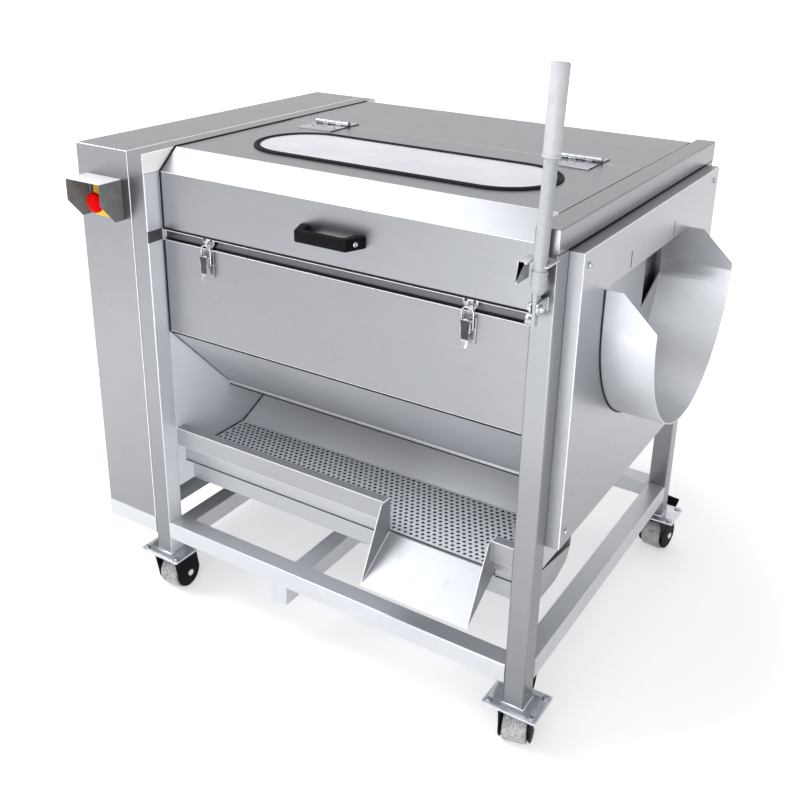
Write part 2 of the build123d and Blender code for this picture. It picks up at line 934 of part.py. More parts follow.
# Grip sleeve on the lever
with BuildPart() as lever_grip:
    with BuildSketch(lever_axis.offset(grip_low)):
        Circle(lever_grip_radius)
    extrude(amount=lever_grip_length)
    fillet(lever_grip.edges().group_by(Axis.Z)[-1], lever_grip_radius / 4)
    with BuildSketch(lever_axis.offset(grip_low)):
        Circle(lever_tube_radius + weld_gap)
    extrude(amount=lever_grip_length - sheet, mode=Mode.SUBTRACT)
lever_grip.part.label = "lever_grip"
export_step(lever_grip.part, "parts/lever_grip.step")

# Clevis on the post with the lever's cross bolt
x_ears = (x_lever - ear_gap / 2 - ear_thick, x_lever + ear_gap / 2)
ear_reach = lever_pivot_depth
x_bolt_left = x_ears[0] - bolt_head_height
x_bolt_right = x_ears[1] + ear_thick + bolt_head_height
with BuildPart() as lever_clevis:
    for x in x_ears:
        slab(
            (x, y_front - ear_reach, lever_pivot_height - ear_half),
            (x + ear_thick, y_front, lever_pivot_height + ear_half),
        )
        with BuildSketch(section_plane(x)):
            with Locations((y_pivot, lever_pivot_height)):
                Circle(ear_half)
        extrude(amount=ear_thick)
    for x in (x_bolt_left, x_bolt_right - bolt_head_height):
        with BuildSketch(section_plane(x)):
            with Locations((y_pivot, lever_pivot_height)):
                RegularPolygon(bolt_head_radius, 6)
        extrude(amount=bolt_head_height)
    with BuildSketch(section_plane(x_bolt_left)):
        with Locations((y_pivot, lever_pivot_height)):
            Circle(lever_bolt_radius)
    extrude(amount=x_bolt_right - x_bolt_left)
lever_clevis.part.label = "lever_clevis"
export_step(lever_clevis.part, "parts/lever_clevis.step")

# Notch bracket that holds the lever upright, open to the front
notch_left = x_lever - tube + lever_grip_radius - bolt_head_height
slot_depth = notch_reach - lever_collar_radius + sheet
with BuildPart() as notch_bracket:
    slab(
        (notch_left, y_front - notch_reach, notch_height - notch_thick),
        (notch_left + notch_wide, y_front, notch_height),
    )
    with BuildSketch(Plane.XY.offset(notch_height)):
        with Locations((x_lever, y_front - notch_reach + (slot_depth - notch_slot / 2) / 2)):
            Rectangle(notch_slot, slot_depth - notch_slot / 2)
        with Locations((x_lever, y_front - notch_reach + slot_depth - notch_slot / 2)):
            Circle(notch_slot / 2)
    extrude(amount=-notch_thick, mode=Mode.SUBTRACT)
    slab(
        (notch_left, y_front - notch_reach, notch_height - notch_flange - sheet),
        (notch_left + notch_thick, y_front, notch_height),
    )
notch_bracket.part.label = "notch_bracket"
export_step(notch_bracket.part, "parts/notch_bracket.step")

# Lid: front face, chamfer, top and rear fold in one sheet, with side flanges
x_window = x_cabinet + window_across
y_window = y_front + window_centre_depth
flange_wide = 20
flange_stop = 870
catch_centres = [x_cabinet + latch_across + side * latch_spacing / 2 for side in (-1, 1)]
y_lid_fold = y_lid_front + chamfer_depth
window_edge = gasket_width - sheet
with BuildPart() as lid:
    folded_sheet(
        (
            (y_lid_front, lid_bottom),
            (y_lid_front, body_top - chamfer_drop),
            (y_lid_fold, body_top),
            (y_hinge, body_top),
            (y_hinge, body_top - lid_side_drop),
        ),
        -sheet,
        x_inner_left + lid_gap,
        inner_width - 2 * lid_gap,
    )
    for x in (x_inner_left + lid_gap, x_inner_right - lid_gap - sheet):
        with BuildSketch(section_plane(x)):
            with BuildLine():
                Polyline(
                    (y_lid_front + sheet, flange_stop),
                    (y_lid_front + sheet, body_top - chamfer_drop - sheet),
                    (y_lid_fold, body_top - 2 * sheet),
                    (y_lid_fold, body_top - sheet),
                    (y_hinge - sheet, body_top - sheet),
                    (y_hinge - sheet, body_top - lid_side_drop),
                    (y_lid_fold + flange_wide / 2, body_top - lid_side_drop),
                    (y_lid_front + flange_wide, body_top - chamfer_drop - flange_wide / 2),
                    (y_lid_front + flange_wide, flange_stop),
                    close=True,
                )
            make_face()
        extrude(amount=sheet)
    with BuildSketch(Plane.XY.offset(body_top)):
        with Locations((x_window, y_window)):
            SlotOverall(window_length - window_edge, window_width - window_edge)
    extrude(amount=-sheet, mode=Mode.SUBTRACT)
    for x in catch_centres:
        with BuildSketch(side_plane(y_lid_front + sheet)):
            with BuildLine():
                Polyline(
                    (x - latch_width / 2, lid_bottom + flange_wide),
                    (x - latch_width / 2, catch_shoulder),
                    (x - catch_half, panel_top + lid_gap),
                    (x + catch_half, panel_top + lid_gap),
                    (x + latch_width / 2, catch_shoulder),
                    (x + latch_width / 2, lid_bottom + flange_wide),
                    close=True,
                )
            make_face()
        extrude(amount=-latch_thick)
lid.part.label = "lid"
export_step(lid.part, "parts/lid.step")

# Window gasket: a lip above the lid, a neck through it and a lip below
window_hole = window_edge + 2 * soft_gap
pane_edge = 2 * gasket_width
with BuildPart() as window_gasket:
    with BuildSketch(Plane.XY.offset(body_top)):
        with Locations((x_window, y_window)):
            SlotOverall(window_length, window_width)
    extrude(amount=gasket_height - sheet)
    with BuildSketch(Plane.XY.offset(body_top - sheet - weld_gap)):
        with Locations((x_window, y_window)):
            SlotOverall(window_length - window_hole, window_width - window_hole)
    extrude(amount=sheet + weld_gap)
    with BuildSketch(Plane.XY.offset(body_top - gasket_height)):
        with Locations((x_window, y_window)):
            SlotOverall(window_length, window_width)
    extrude(amount=gasket_height - sheet - weld_gap)
    with BuildSketch(Plane.XY.offset(body_top + gasket_height)):
        with Locations((x_window, y_window)):
            SlotOverall(window_length - pane_edge, window_width - pane_edge)
    extrude(amount=-3 * gasket_height, mode=Mode.SUBTRACT)
window_gasket.part.label = "window_gasket"
export_step(window_gasket.part, "parts/window_gasket.step")

# Window pane, held inside the gasket
pane_size = pane_edge + 2 * weld_gap
with BuildPart() as window_pane:
    with BuildSketch(Plane.XY.offset(body_top - pane_thick / 2)):
        with Locations((x_window, y_window)):
            SlotOverall(window_length - pane_size, window_width - pane_size)
    extrude(amount=pane_thick)
window_pane.part.label = "window_pane"
export_step(window_pane.part, "parts/window_pane.step")

# Bow handle on the front of the lid
x_handle = x_cabinet + handle_across
handle_half = handle_length / 2
y_grip_back = y_lid_front - handle_reach + handle_bar
handle_foot = 22
handle_taper = 16
with BuildPart() as lid_handle:
    with BuildSketch(Plane.XY.offset(handle_centre_height - handle_height / 2)):
        with BuildLine():
            Polyline(
                (x_handle - handle_half, y_lid_front),
                (x_handle - handle_half + handle_taper, y_lid_front - handle_reach),
                (x_handle + handle_half - handle_taper, y_lid_front - handle_reach),
                (x_handle + handle_half, y_lid_front),
                (x_handle + handle_half - handle_foot, y_lid_front),
                (x_handle + handle_half - handle_foot - handle_screw, y_grip_back),
                (x_handle - handle_half + handle_foot + handle_screw, y_grip_back),
                (x_handle - handle_half + handle_foot, y_lid_front),
                close=True,
            )
        make_face()
    extrude(amount=handle_height)
    fillet(lid_handle.edges().filter_by(Axis.Z).group_by(Axis.Y)[0], handle_screw)
lid_handle.part.label = "lid_handle"
export_step(lid_handle.part, "parts/lid_handle.step")

# Hinges: leaves on top of the lid and the rear panel, with interleaved knuckles
x_hinges = [x_middle + side * hinge_spacing / 2 for side in (-1, 1)]
z_hinge = body_top + hinge_leaf_thick + hinge_barrel - sheet / 2
knuckle_pitch = hinge_leaf / knuckle_count
barrel_clear = hinge_barrel + soft_gap
lid_leaf_depth = 28
rear_leaf_depth = 78


def knuckle_span(centre, index):
    """Start and end of one knuckle along X."""
    start = centre - hinge_leaf / 2 + index * knuckle_pitch
    return (start + soft_gap / 2, start + knuckle_pitch - soft_gap / 2)


with BuildPart() as lid_hinge_leaves:
    for centre in x_hinges:
        slab(
            (centre - hinge_leaf / 2, y_hinge - lid_leaf_depth, body_top),
            (centre + hinge_leaf / 2, y_hinge - barrel_clear, body_top + hinge_leaf_thick),
        )
        for index in (1, 3):
            span = knuckle_span(centre, index)
            slab((span[0], y_hinge - barrel_clear, body_top), (span[1], y_hinge, body_top + hinge_leaf_thick))
            with BuildSketch(section_plane(span[0])):
                with Locations((y_hinge, z_hinge)):
                    Circle(hinge_barrel)
            extrude(amount=span[1] - span[0])
            with BuildSketch(section_plane(span[0])):
                with Locations((y_hinge, z_hinge)):
                    Circle(hinge_pin + running_gap)
            extrude(amount=span[1] - span[0], mode=Mode.SUBTRACT)
lid_hinge_leaves.part.label = "lid_hinge_leaves"
export_step(lid_hinge_leaves.part, "parts/lid_hinge_leaves.step")

with BuildPart() as rear_hinge_leaves:
    for centre in x_hinges:
        slab(
            (centre - hinge_leaf / 2, y_hinge + barrel_clear, body_top),
            (centre + hinge_leaf / 2, y_hinge + rear_leaf_depth, body_top + hinge_leaf_thick),
        )
        for index in (0, 2, 4):
            span = knuckle_span(centre, index)
            slab(
                (span[0], y_hinge + lid_gap, body_top),
                (span[1], y_hinge + barrel_clear, body_top + hinge_leaf_thick),
            )
            with BuildSketch(section_plane(span[0])):
                with Locations((y_hinge, z_hinge)):
                    Circle(hinge_barrel)
            extrude(amount=span[1] - span[0])
        with BuildSketch(section_plane(centre - hinge_leaf / 2 + soft_gap)):
            with Locations((y_hinge, z_hinge)):
                Circle(hinge_pin)
        extrude(amount=hinge_leaf - 2 * soft_gap)
rear_hinge_leaves.part.label = "rear_hinge_leaves"
export_step(rear_hinge_leaves.part, "parts/rear_hinge_leaves.step")

# Latch bases on the front panel, each with a lug and a pin for its lever
y_latch = y_body_front - latch_pivot_out + sheet
lug_half = latch_width / 6
lever_half = latch_lever_width / 2
with BuildPart() as latch_bases:
    for x in catch_centres:
        slab(
            (x - latch_width / 2, y_body_front - latch_thick, latch_base_low),
            (x + latch_width / 2, y_body_front, latch_base_high),
        )
        slab(
            (x - lug_half, y_latch - latch_pin - sheet, latch_pivot_height - latch_lug_half),
            (x + lug_half, y_body_front - latch_thick, latch_pivot_height + latch_lug_half),
        )
        with BuildSketch(section_plane(x - lever_half)):
            with Locations((y_latch, latch_pivot_height)):
                Circle(latch_pin)
        extrude(amount=latch_lever_width)
latch_bases.part.label = "latch_bases"
export_step(latch_bases.part, "parts/latch_bases.step")

# Latch levers: a channel over the pin with a narrower finger tip, and their bails
latch_face_out = 8
bail_drop = 14
finger_half = 6
z_finger = latch_pivot_height - latch_lever_length + finger_half
y_latch_face = y_latch - latch_face_out
bail_inner = lever_half + soft_gap
bail_outer = bail_inner + 2 * bail_wire
z_bail_pin = latch_pivot_height - bail_drop
for side, x in zip(("left", "right"), catch_centres):
    with BuildPart() as latch_lever:
        slab(
            (x - lever_half, y_latch_face, z_finger),
            (x + lever_half, y_latch_face + latch_thick, latch_pivot_height + latch_over_pin),
        )
        slab(
            (x - finger_half, y_latch_face, z_finger - 2 * finger_half),
            (x + finger_half, y_latch_face + latch_thick, z_finger),
        )
        for cheek in (x - lever_half, x + lever_half - latch_thick):
            slab(
                (cheek, y_latch_face, z_bail_pin - overrun),
                (cheek + latch_thick, y_latch + latch_pin + soft_gap, latch_pivot_height + latch_over_pin),
            )
        with BuildSketch(section_plane(x - lever_half)):
            with Locations((y_latch, latch_pivot_height)):
                Circle(latch_pin + running_gap)
            with Locations((y_latch, z_bail_pin)):
                Circle(bail_wire + running_gap)
        extrude(amount=latch_lever_width, mode=Mode.SUBTRACT)
    latch_lever.part.label = "latch_lever_" + side
    export_step(latch_lever.part, "parts/latch_lever_" + side + ".step")
    with BuildPart() as latch_bail:
        for leg in (x - bail_outer, x + bail_inner):
            with BuildSketch(Plane.XY.offset(z_bail_pin - bail_wire)):
                with Locations((leg + bail_wire, y_latch)):
                    Rectangle(2 * bail_wire, 2 * bail_wire)
            extrude(amount=bail_top - z_bail_pin + bail_wire)
        slab(
            (x - bail_outer, y_latch - bail_wire, bail_top - 2 * bail_wire),
            (x + bail_outer, y_latch + bail_wire, bail_top),
        )
        for start in (x - bail_inner, x + lever_half - latch_thick):
            with BuildSketch(section_plane(start)):
                with Locations((y_latch, z_bail_pin)):
                    Circle(bail_wire)
            extrude(amount=latch_thick + soft_gap)
    latch_bail.part.label = "latch_bail_" + side
    export_step(latch_bail.part, "parts/latch_bail_" + side + ".step")

# Hood over the stop button, open to the front and below
x_hood = x_cabinet + hood_left
hood_profile = (
    (y_front, hood_top),
    (y_front - hood_depth, hood_top),
    (y_front - hood_depth, hood_top - hood_front_drop),
    (y_front - hood_depth + hood_slant, hood_low),
    (y_front, hood_low),
)
with BuildPart() as switch_hood:
    for x in (x_hood, x_hood + hood_width - hood_sheet):
        with BuildSketch(section_plane(x)):
            with BuildLine():
                Polyline(*hood_profile, close=True)
            make_face()
        extrude(amount=hood_sheet)
    slab(
        (x_hood, y_front - hood_depth, hood_top - hood_sheet),
        (x_hood + hood_width, y_front, hood_top),
    )
switch_hood.part.label = "switch_hood"
export_step(switch_hood.part, "parts/switch_hood.step")

# Plain plate behind the stop button
with BuildPart() as switch_plate:
    slab(
        (x_button - label_width / 2, y_front - label_thick, button_height - label_height / 2),
        (x_button + label_width / 2, y_front, button_height + label_height / 2),
    )
    with BuildSketch(side_plane(y_front)):
        with Locations((x_button, button_height)):
            Circle(stem_hole)
    extrude(amount=label_thick, mode=Mode.SUBTRACT)
switch_plate.part.label = "switch_plate"
export_step(switch_plate.part, "parts/switch_plate.step")

# Mushroom stop button on a stem through the cabinet face
y_button = y_front - button_reach - button_travel
with BuildPart() as stop_button:
    with BuildSketch(side_plane(y_button + button_head)):
        with Locations((x_button, button_height)):
            Circle(button_radius)
    extrude(amount=button_head)
    fillet(stop_button.edges().group_by(Axis.Y)[0], button_head / 3)
    with BuildSketch(side_plane(y_button + button_head)):
        with Locations((x_button, button_height)):
            Circle(button_stem)
    extrude(amount=y_button + button_head - y_front - 2 * button_stem)
stop_button.part.label = "stop_button"
export_step(stop_button.part, "parts/stop_button.step")

# Gear motor hung from the cabinet roof on a bracket plate
x_motor = x_cabinet + motor_left
x_bracket = x_motor + motor_length
with BuildPart() as gear_motor:
    with BuildSketch(section_plane(x_motor)):
        with Locations((y_middle, motor_height)):
            Circle(motor_radius)
    extrude(amount=motor_length)
    slab(
        (x_bracket, y_middle - motor_radius - overrun, motor_height - motor_radius - overrun),
        (x_bracket + 2 * sheet, y_middle + motor_radius + overrun, body_top - sheet),
    )
    with BuildSketch(section_plane(x_motor + motor_length / 2)):
        with Locations((y_middle, motor_height)):
            Circle(motor_shaft + running_gap)
    extrude(amount=motor_length / 2 + 2 * sheet, mode=Mode.SUBTRACT)
gear_motor.part.label = "gear_motor"
export_step(gear_motor.part, "parts/gear_motor.step")

# Sprocket outline shared by the motor and the rollers
x_sprocket = x_cabinet + sprocket_inset
sprocket_outer = sprocket_pitch_radius + sprocket_roller / 2


def toothed_wheel(place, x_start):
    """A sprocket along X in the part being built, at a place given as Y and Z."""
    with BuildSketch(section_plane(x_start)) as outline:
        with Locations(place):
            Circle(sprocket_outer)
            with PolarLocations(sprocket_outer + sheet, sprocket_teeth):
                Circle(sprocket_roller, mode=Mode.SUBTRACT)
    extrude(outline.sketch, amount=sprocket_thick)


def shaft_along_x(place, radius, x_low, x_high):
    """A round bar along X in the part being built, at a place given as Y and Z."""
    with BuildSketch(section_plane(x_low)) as outline:
        with Locations(place):
            Circle(radius)
    extrude(outline.sketch, amount=x_high - x_low)


# Motor shaft with its sprocket
motor_place = (y_middle, motor_height)
with BuildPart() as motor_sprocket:
    shaft_along_x(motor_place, motor_shaft, x_motor + motor_length / 2 + soft_gap, x_sprocket + sprocket_thick)
    toothed_wheel(motor_place, x_sprocket)
motor_sprocket.part.label = "motor_sprocket"
export_step(motor_sprocket.part, "parts/motor_sprocket.step")

# Drive chain as a closed band around all the sprockets
chain_inner = sprocket_outer + soft_gap
x_chain = x_sprocket + (sprocket_thick - chain_width) / 2
chain_corners = [*roller_places, motor_place]
with BuildPart() as drive_chain:
    with BuildSketch(section_plane(x_chain)):
        Polygon(*chain_corners, align=None)
        offset(amount=chain_inner + chain_thick, kind=Kind.ARC)
    extrude(amount=chain_width)
    with BuildSketch(section_plane(x_chain)):
        Polygon(*chain_corners, align=None)
        offset(amount=chain_inner, kind=Kind.ARC)
    extrude(amount=chain_width, mode=Mode.SUBTRACT)
drive_chain.part.label = "drive_chain"
export_step(drive_chain.part, "parts/drive_chain.step")

# Brush rollers: shaft, core, brush and sprocket, one after the other
x_brush_left = x_inner_left + brush_end_gap
x_brush_right = x_inner_right - brush_end_gap
x_shaft_right = x_wall + bearing_thick - sheet
for number, place in enumerate(roller_places, start=1):
    with BuildPart() as roller:
        shaft_along_x(place, shaft_radius, x_cabinet + shaft_drive_end, x_shaft_right)
        shaft_along_x(place, brush_core, x_brush_left - sheet, x_brush_right + sheet)
        shaft_along_x(place, brush_radius, x_brush_left, x_brush_right)
        toothed_wheel(place, x_sprocket)
    roller.part.label = "roller_" + str(number)
    export_step(roller.part, "parts/roller_" + str(number) + ".step")

# Flange bearings at both ends of every roller
with BuildPart() as roller_bearings:
    for place in roller_places:
        shaft_along_x(place, bearing_radius, x_inner_left - sheet - bearing_flange, x_inner_left - sheet)
        shaft_along_x(place, bearing_radius * 2 / 3, x_inner_left - sheet - bearing_thick, x_inner_left - sheet)
        shaft_along_x(place, bearing_radius, x_wall, x_wall + bearing_flange)
        shaft_along_x(place, bearing_radius * 2 / 3, x_wall, x_wall + bearing_thick)
    with BuildSketch(section_plane(x_post_left)):
        with Locations(*roller_places):
            Circle(shaft_radius + running_gap)
    extrude(amount=x_shaft_right + overrun - x_post_left, mode=Mode.SUBTRACT)
roller_bearings.part.label = "roller_bearings"
export_step(roller_bearings.part, "parts/roller_bearings.step")

# Spray pipe across the drum with its inlet through the rear panel
with BuildPart() as spray_pipe:
    shaft_along_x((y_spray, spray_height), spray_radius, x_inner_left, x_inner_right)
    with BuildSketch(side_plane(y_spray)):
        with Locations((x_inlet, spray_height)):
            Circle(spray_radius)
    extrude(amount=y_spray - y_body_back - overrun)
    with BuildSketch(side_plane(y_body_back)):
        with Locations((x_inlet, spray_height)):
            Circle(inlet_radius)
    extrude(amount=-inlet_reach)
    with BuildSketch(section_plane(x_inner_left)):
        with Locations((y_spray, spray_height)):
            Circle(spray_bore)
    extrude(amount=inner_width, mode=Mode.SUBTRACT)
    with BuildSketch(side_plane(y_spray)):
        with Locations((x_inlet, spray_height)):
            Circle(spray_bore)
    extrude(amount=y_spray - y_body_back - inlet_reach, mode=Mode.SUBTRACT)
spray_pipe.part.label = "spray_pipe"
export_step(spray_pipe.part, "parts/spray_pipe.step")

# Cable gland under the cabinet
with BuildPart() as cable_gland:
    with BuildSketch(Plane.XY.offset(rail_top)):
        with Locations((x_gland, y_gland)):
            Circle(gland_radius)
            Circle(gland_radius / 2, mode=Mode.SUBTRACT)
    extrude(amount=-gland_drop)
cable_gland.part.label = "cable_gland"
export_step(cable_gland.part, "parts/cable_gland.step")

# Caster top plates under the posts, with bolt heads on top
x_bolts = caster_plate_length / 2 - plate_bolt_inset
y_bolts = caster_plate_width / 2 - plate_bolt_inset
with BuildPart() as caster_plates:
    for x in x_post_centres:
        for y in y_post_centres:
            with BuildSketch(Plane.XY.offset(z_plate_low)):
                with Locations((x, y)):
                    RectangleRounded(caster_plate_length, caster_plate_width, tube_corner)
                    Circle(king_pin + running_gap, mode=Mode.SUBTRACT)
            extrude(amount=caster_plate_thick)
            with BuildSketch(Plane.XY.offset(z_plate_top)):
                with Locations((x, y)):
                    with GridLocations(2 * x_bolts, 2 * y_bolts, 2, 2):
                        Circle(plate_bolt_radius)
            extrude(amount=plate_bolt_height)
caster_plates.part.label = "caster_plates"
export_step(caster_plates.part, "parts/caster_plates.step")

# Casters: a swivel fork with its axle and a wheel at each post
caster_places = {
    "front_left": (x_post_centres[0], y_post_centres[0]),
    "front_right": (x_post_centres[1], y_post_centres[0]),
    "back_right": (x_post_centres[1], y_post_centres[1]),
    "back_left": (x_post_centres[0], y_post_centres[1]),
}
z_race_top = z_plate_low - soft_gap
z_fork_top = z_race_top - race_height
leg_inner = wheel_width / 2 + wheel_cover_depth + fork_leg_gap
leg_outer = leg_inner + fork_leg
braked = ("front_right", "back_right")
for name, (x, y) in caster_places.items():
    heading = radians(caster_headings[name])
    side_view = Plane(
        origin=(x, y, 0),
        x_dir=(cos(heading), sin(heading), 0),
        z_dir=(sin(heading), -cos(heading), 0),
    )
    top_view = Plane(origin=(x, y, 0), x_dir=(cos(heading), sin(heading), 0), z_dir=(0, 0, 1))
    with BuildPart() as caster_fork:
        with BuildSketch(Plane.XY.offset(z_fork_top)):
            with Locations((x, y)):
                Circle(race_radius)
        extrude(amount=race_height)
        with BuildSketch(Plane.XY.offset(z_race_top)):
            with Locations((x, y)):
                Circle(king_pin)
        extrude(amount=caster_plate_thick)
        with BuildSketch(top_view.offset(z_fork_top - fork_plate)):
            with Locations(((fork_back - fork_front) / 2, 0)):
                Rectangle(fork_back + fork_front, 2 * leg_outer)
        extrude(amount=fork_plate)
        for start in (leg_inner, -leg_outer):
            with BuildSketch(side_view.offset(start)):
                with BuildLine():
                    Polyline(
                        (-fork_front, z_fork_top),
                        (fork_back, z_fork_top),
                        (caster_trail + fork_shield, wheel_radius),
                        (caster_trail - fork_shield, wheel_radius),
                        close=True,
                    )
                make_face()
                with Locations((caster_trail, wheel_radius)):
                    Circle(fork_shield)
            extrude(amount=fork_leg)
        with BuildSketch(side_view.offset(-leg_outer - sheet)):
            with Locations((caster_trail, wheel_radius)):
                Circle(axle_radius)
        extrude(amount=2 * (leg_outer + sheet))
        if name in braked:
            with BuildSketch(side_view.offset(-pedal_width / 2)):
                with BuildLine():
                    Polyline(
                        (fork_back - pedal_thick, z_fork_top),
                        (pedal_bend, z_fork_top),
                        (pedal_reach, z_fork_top + pedal_rise),
                        (pedal_reach, z_fork_top + pedal_rise - pedal_thick),
                        (pedal_bend, z_fork_top - pedal_thick),
                        (fork_back - pedal_thick, z_fork_top - pedal_thick),
                        close=True,
                    )
                make_face()
            extrude(amount=pedal_width)
    caster_fork.part.label = "caster_fork_" + name
    export_step(caster_fork.part, "parts/caster_fork_" + name + ".step")
    with BuildPart() as caster_wheel:
        with BuildSketch(side_view.offset(-wheel_width / 2)):
            with Locations((caster_trail, wheel_radius)):
                Circle(wheel_radius)
        extrude(amount=wheel_width)
        fillet(caster_wheel.edges().filter_by(GeomType.CIRCLE), wheel_edge)
        with BuildSketch(side_view.offset(-wheel_width / 2 - wheel_cover_depth)):
            with Locations((caster_trail, wheel_radius)):
                Circle(wheel_cover)
        extrude(amount=wheel_width + 2 * wheel_cover_depth)
        with BuildSketch(side_view.offset(-wheel_width)):
            with Locations((caster_trail, wheel_radius)):
                Circle(axle_radius + running_gap)
        extrude(amount=2 * wheel_width, mode=Mode.SUBTRACT)
    caster_wheel.part.label = "caster_wheel_" + name
    export_step(caster_wheel.part, "parts/caster_wheel_" + name + ".step")
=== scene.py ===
import json
from contextlib import contextmanager
from math import atan2, cos, pi, radians, sin

import bmesh
import bpy
from mathutils import Matrix, Vector

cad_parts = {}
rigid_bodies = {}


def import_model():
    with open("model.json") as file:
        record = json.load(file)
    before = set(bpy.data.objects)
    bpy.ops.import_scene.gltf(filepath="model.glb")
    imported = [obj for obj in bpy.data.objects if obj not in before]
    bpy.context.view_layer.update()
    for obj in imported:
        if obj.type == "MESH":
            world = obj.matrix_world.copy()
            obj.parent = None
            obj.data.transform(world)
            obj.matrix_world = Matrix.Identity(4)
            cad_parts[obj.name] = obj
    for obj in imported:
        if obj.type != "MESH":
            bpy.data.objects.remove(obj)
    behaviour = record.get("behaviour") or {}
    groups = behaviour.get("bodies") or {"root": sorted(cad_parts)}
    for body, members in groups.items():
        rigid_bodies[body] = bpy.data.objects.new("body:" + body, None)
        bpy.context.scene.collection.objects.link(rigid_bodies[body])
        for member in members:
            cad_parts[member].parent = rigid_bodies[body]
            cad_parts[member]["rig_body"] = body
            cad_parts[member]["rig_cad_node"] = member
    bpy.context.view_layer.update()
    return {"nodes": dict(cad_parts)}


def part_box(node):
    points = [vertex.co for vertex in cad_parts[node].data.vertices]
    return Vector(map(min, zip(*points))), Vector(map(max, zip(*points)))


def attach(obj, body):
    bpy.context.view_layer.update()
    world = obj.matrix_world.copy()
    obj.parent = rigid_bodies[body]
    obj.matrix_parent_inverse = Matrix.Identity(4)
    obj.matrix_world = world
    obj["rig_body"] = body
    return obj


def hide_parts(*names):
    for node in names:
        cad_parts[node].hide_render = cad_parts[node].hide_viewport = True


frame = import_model()
nodes = frame["nodes"]
scene = bpy.context.scene

# Shared places and sizes, in metres
stand_low, stand_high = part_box("upright_frame")
body_top = stand_high.z
at_left_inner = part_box("lid")[0].x - 0.001
shelf_low, shelf_high = 0.811, 0.834
panel_fold, panel_shelf, hood_fold = 0.6165, 0.8112, 0.9278
tube = 0.040
mm = 0.001


# Shader building -----------------------------------------------------------------
class Value:
    """A node's output. Sums and products of it add Math nodes to its finish."""

    def __init__(self, finish, socket):
        self.finish = finish
        self.socket = socket

    def maths(self, operation, *terms):
        return self.finish.node("ShaderNodeMath", {"operation": operation}, dict(enumerate(terms)))

    def __add__(self, other):
        return self.maths("ADD", self, other)

    def __sub__(self, other):
        return self.maths("SUBTRACT", self, other)

    def __rsub__(self, other):
        return self.maths("SUBTRACT", other, self)

    def __mul__(self, other):
        return self.maths("MULTIPLY", self, other)

    def __gt__(self, other):
        return self.maths("GREATER_THAN", self, other)

    def __lt__(self, other):
        return self.maths("LESS_THAN", self, other)

    __radd__ = __add__
    __rmul__ = __mul__


class Finish:
    """A material: a shader with its fixed values, and the nodes that vary the rest."""

    def __init__(self, name, **fixed):
        self.material = bpy.data.materials.new(name)
        self.material.use_nodes = True
        self.tree = self.material.node_tree
        self.shader = self.tree.nodes["Principled BSDF"]
        for setting, value in fixed.items():
            socket = setting.replace("_", " ").title().replace("Ior", "IOR")
            self.shader.inputs[socket].default_value = value

    def node(self, kind, settings=None, sockets=None, output=0):
        made = self.tree.nodes.new(kind)
        for setting, value in (settings or {}).items():
            setattr(made, setting, value)
        for socket, value in (sockets or {}).items():
            if isinstance(value, Value):
                self.tree.links.new(value.socket, made.inputs[socket])
            else:
                made.inputs[socket].default_value = value
        return Value(self, made.outputs[output])

    def feed(self, socket, value):
        self.tree.links.new(value.socket, self.shader.inputs[socket])

    def place(self, stretch=(1, 1, 1)):
        """Object coordinates through a Mapping node."""
        where = self.node("ShaderNodeTexCoord", output="Object")
        return self.node("ShaderNodeMapping", None, {"Vector": where, "Scale": stretch})

    def axis(self, name):
        """One of the object coordinates, in metres."""
        where = self.node("ShaderNodeTexCoord", output="Object")
        return self.node("ShaderNodeSeparateXYZ", None, {0: where}, name)

    def noise(self, scale, detail, rough, stretch=(1, 1, 1)):
        where = self.place(stretch)
        sockets = {"Vector": where, "Scale": scale, "Detail": detail, "Roughness": rough}
        return self.node("ShaderNodeTexNoise", None, sockets)

    def fit(self, value, low, high, to_low=0.0, to_high=1.0):
        """A value moved from one range to another, and held inside it."""
        sockets = {0: value, 1: low, 2: high, 3: to_low, 4: to_high}
        return self.node("ShaderNodeMapRange", {"clamp": True}, sockets)

    def mix(self, factor, first, second):
        """Two colours mixed."""
        return self.node("ShaderNodeMix", {"data_type": "RGBA"}, {0: factor, 6: first, 7: second}, 2)

    def surface(self, colour, roughness, height, distance, strength):
        """Feeds the colour, the roughness and the relief, and gives the material."""
        self.feed("Base Color", colour)
        self.feed("Roughness", roughness)
        sockets = {"Height": height, "Distance": distance, "Strength": strength}
        self.feed("Normal", self.node("ShaderNodeBump", None, sockets))
        return self.material


def grey(level, tint=(1.0, 1.0, 1.0)):
    return tuple(level * part for part in tint) + (1.0,)


# Finishes ------------------------------------------------------------------------
steel_tint = (0.92, 0.945, 1.0)
grain_stretch = {"X": (0.012, 1, 1), "Y": (1, 0.012, 1), "Z": (1, 1, 0.012)}


def steel(level):
    return grey(level, steel_tint)


def shades(tone, low=0.62, high=1.38):
    """The dark and the light steel colour on either side of a tone."""
    return steel(tone * low), steel(min(1.0, tone * high))


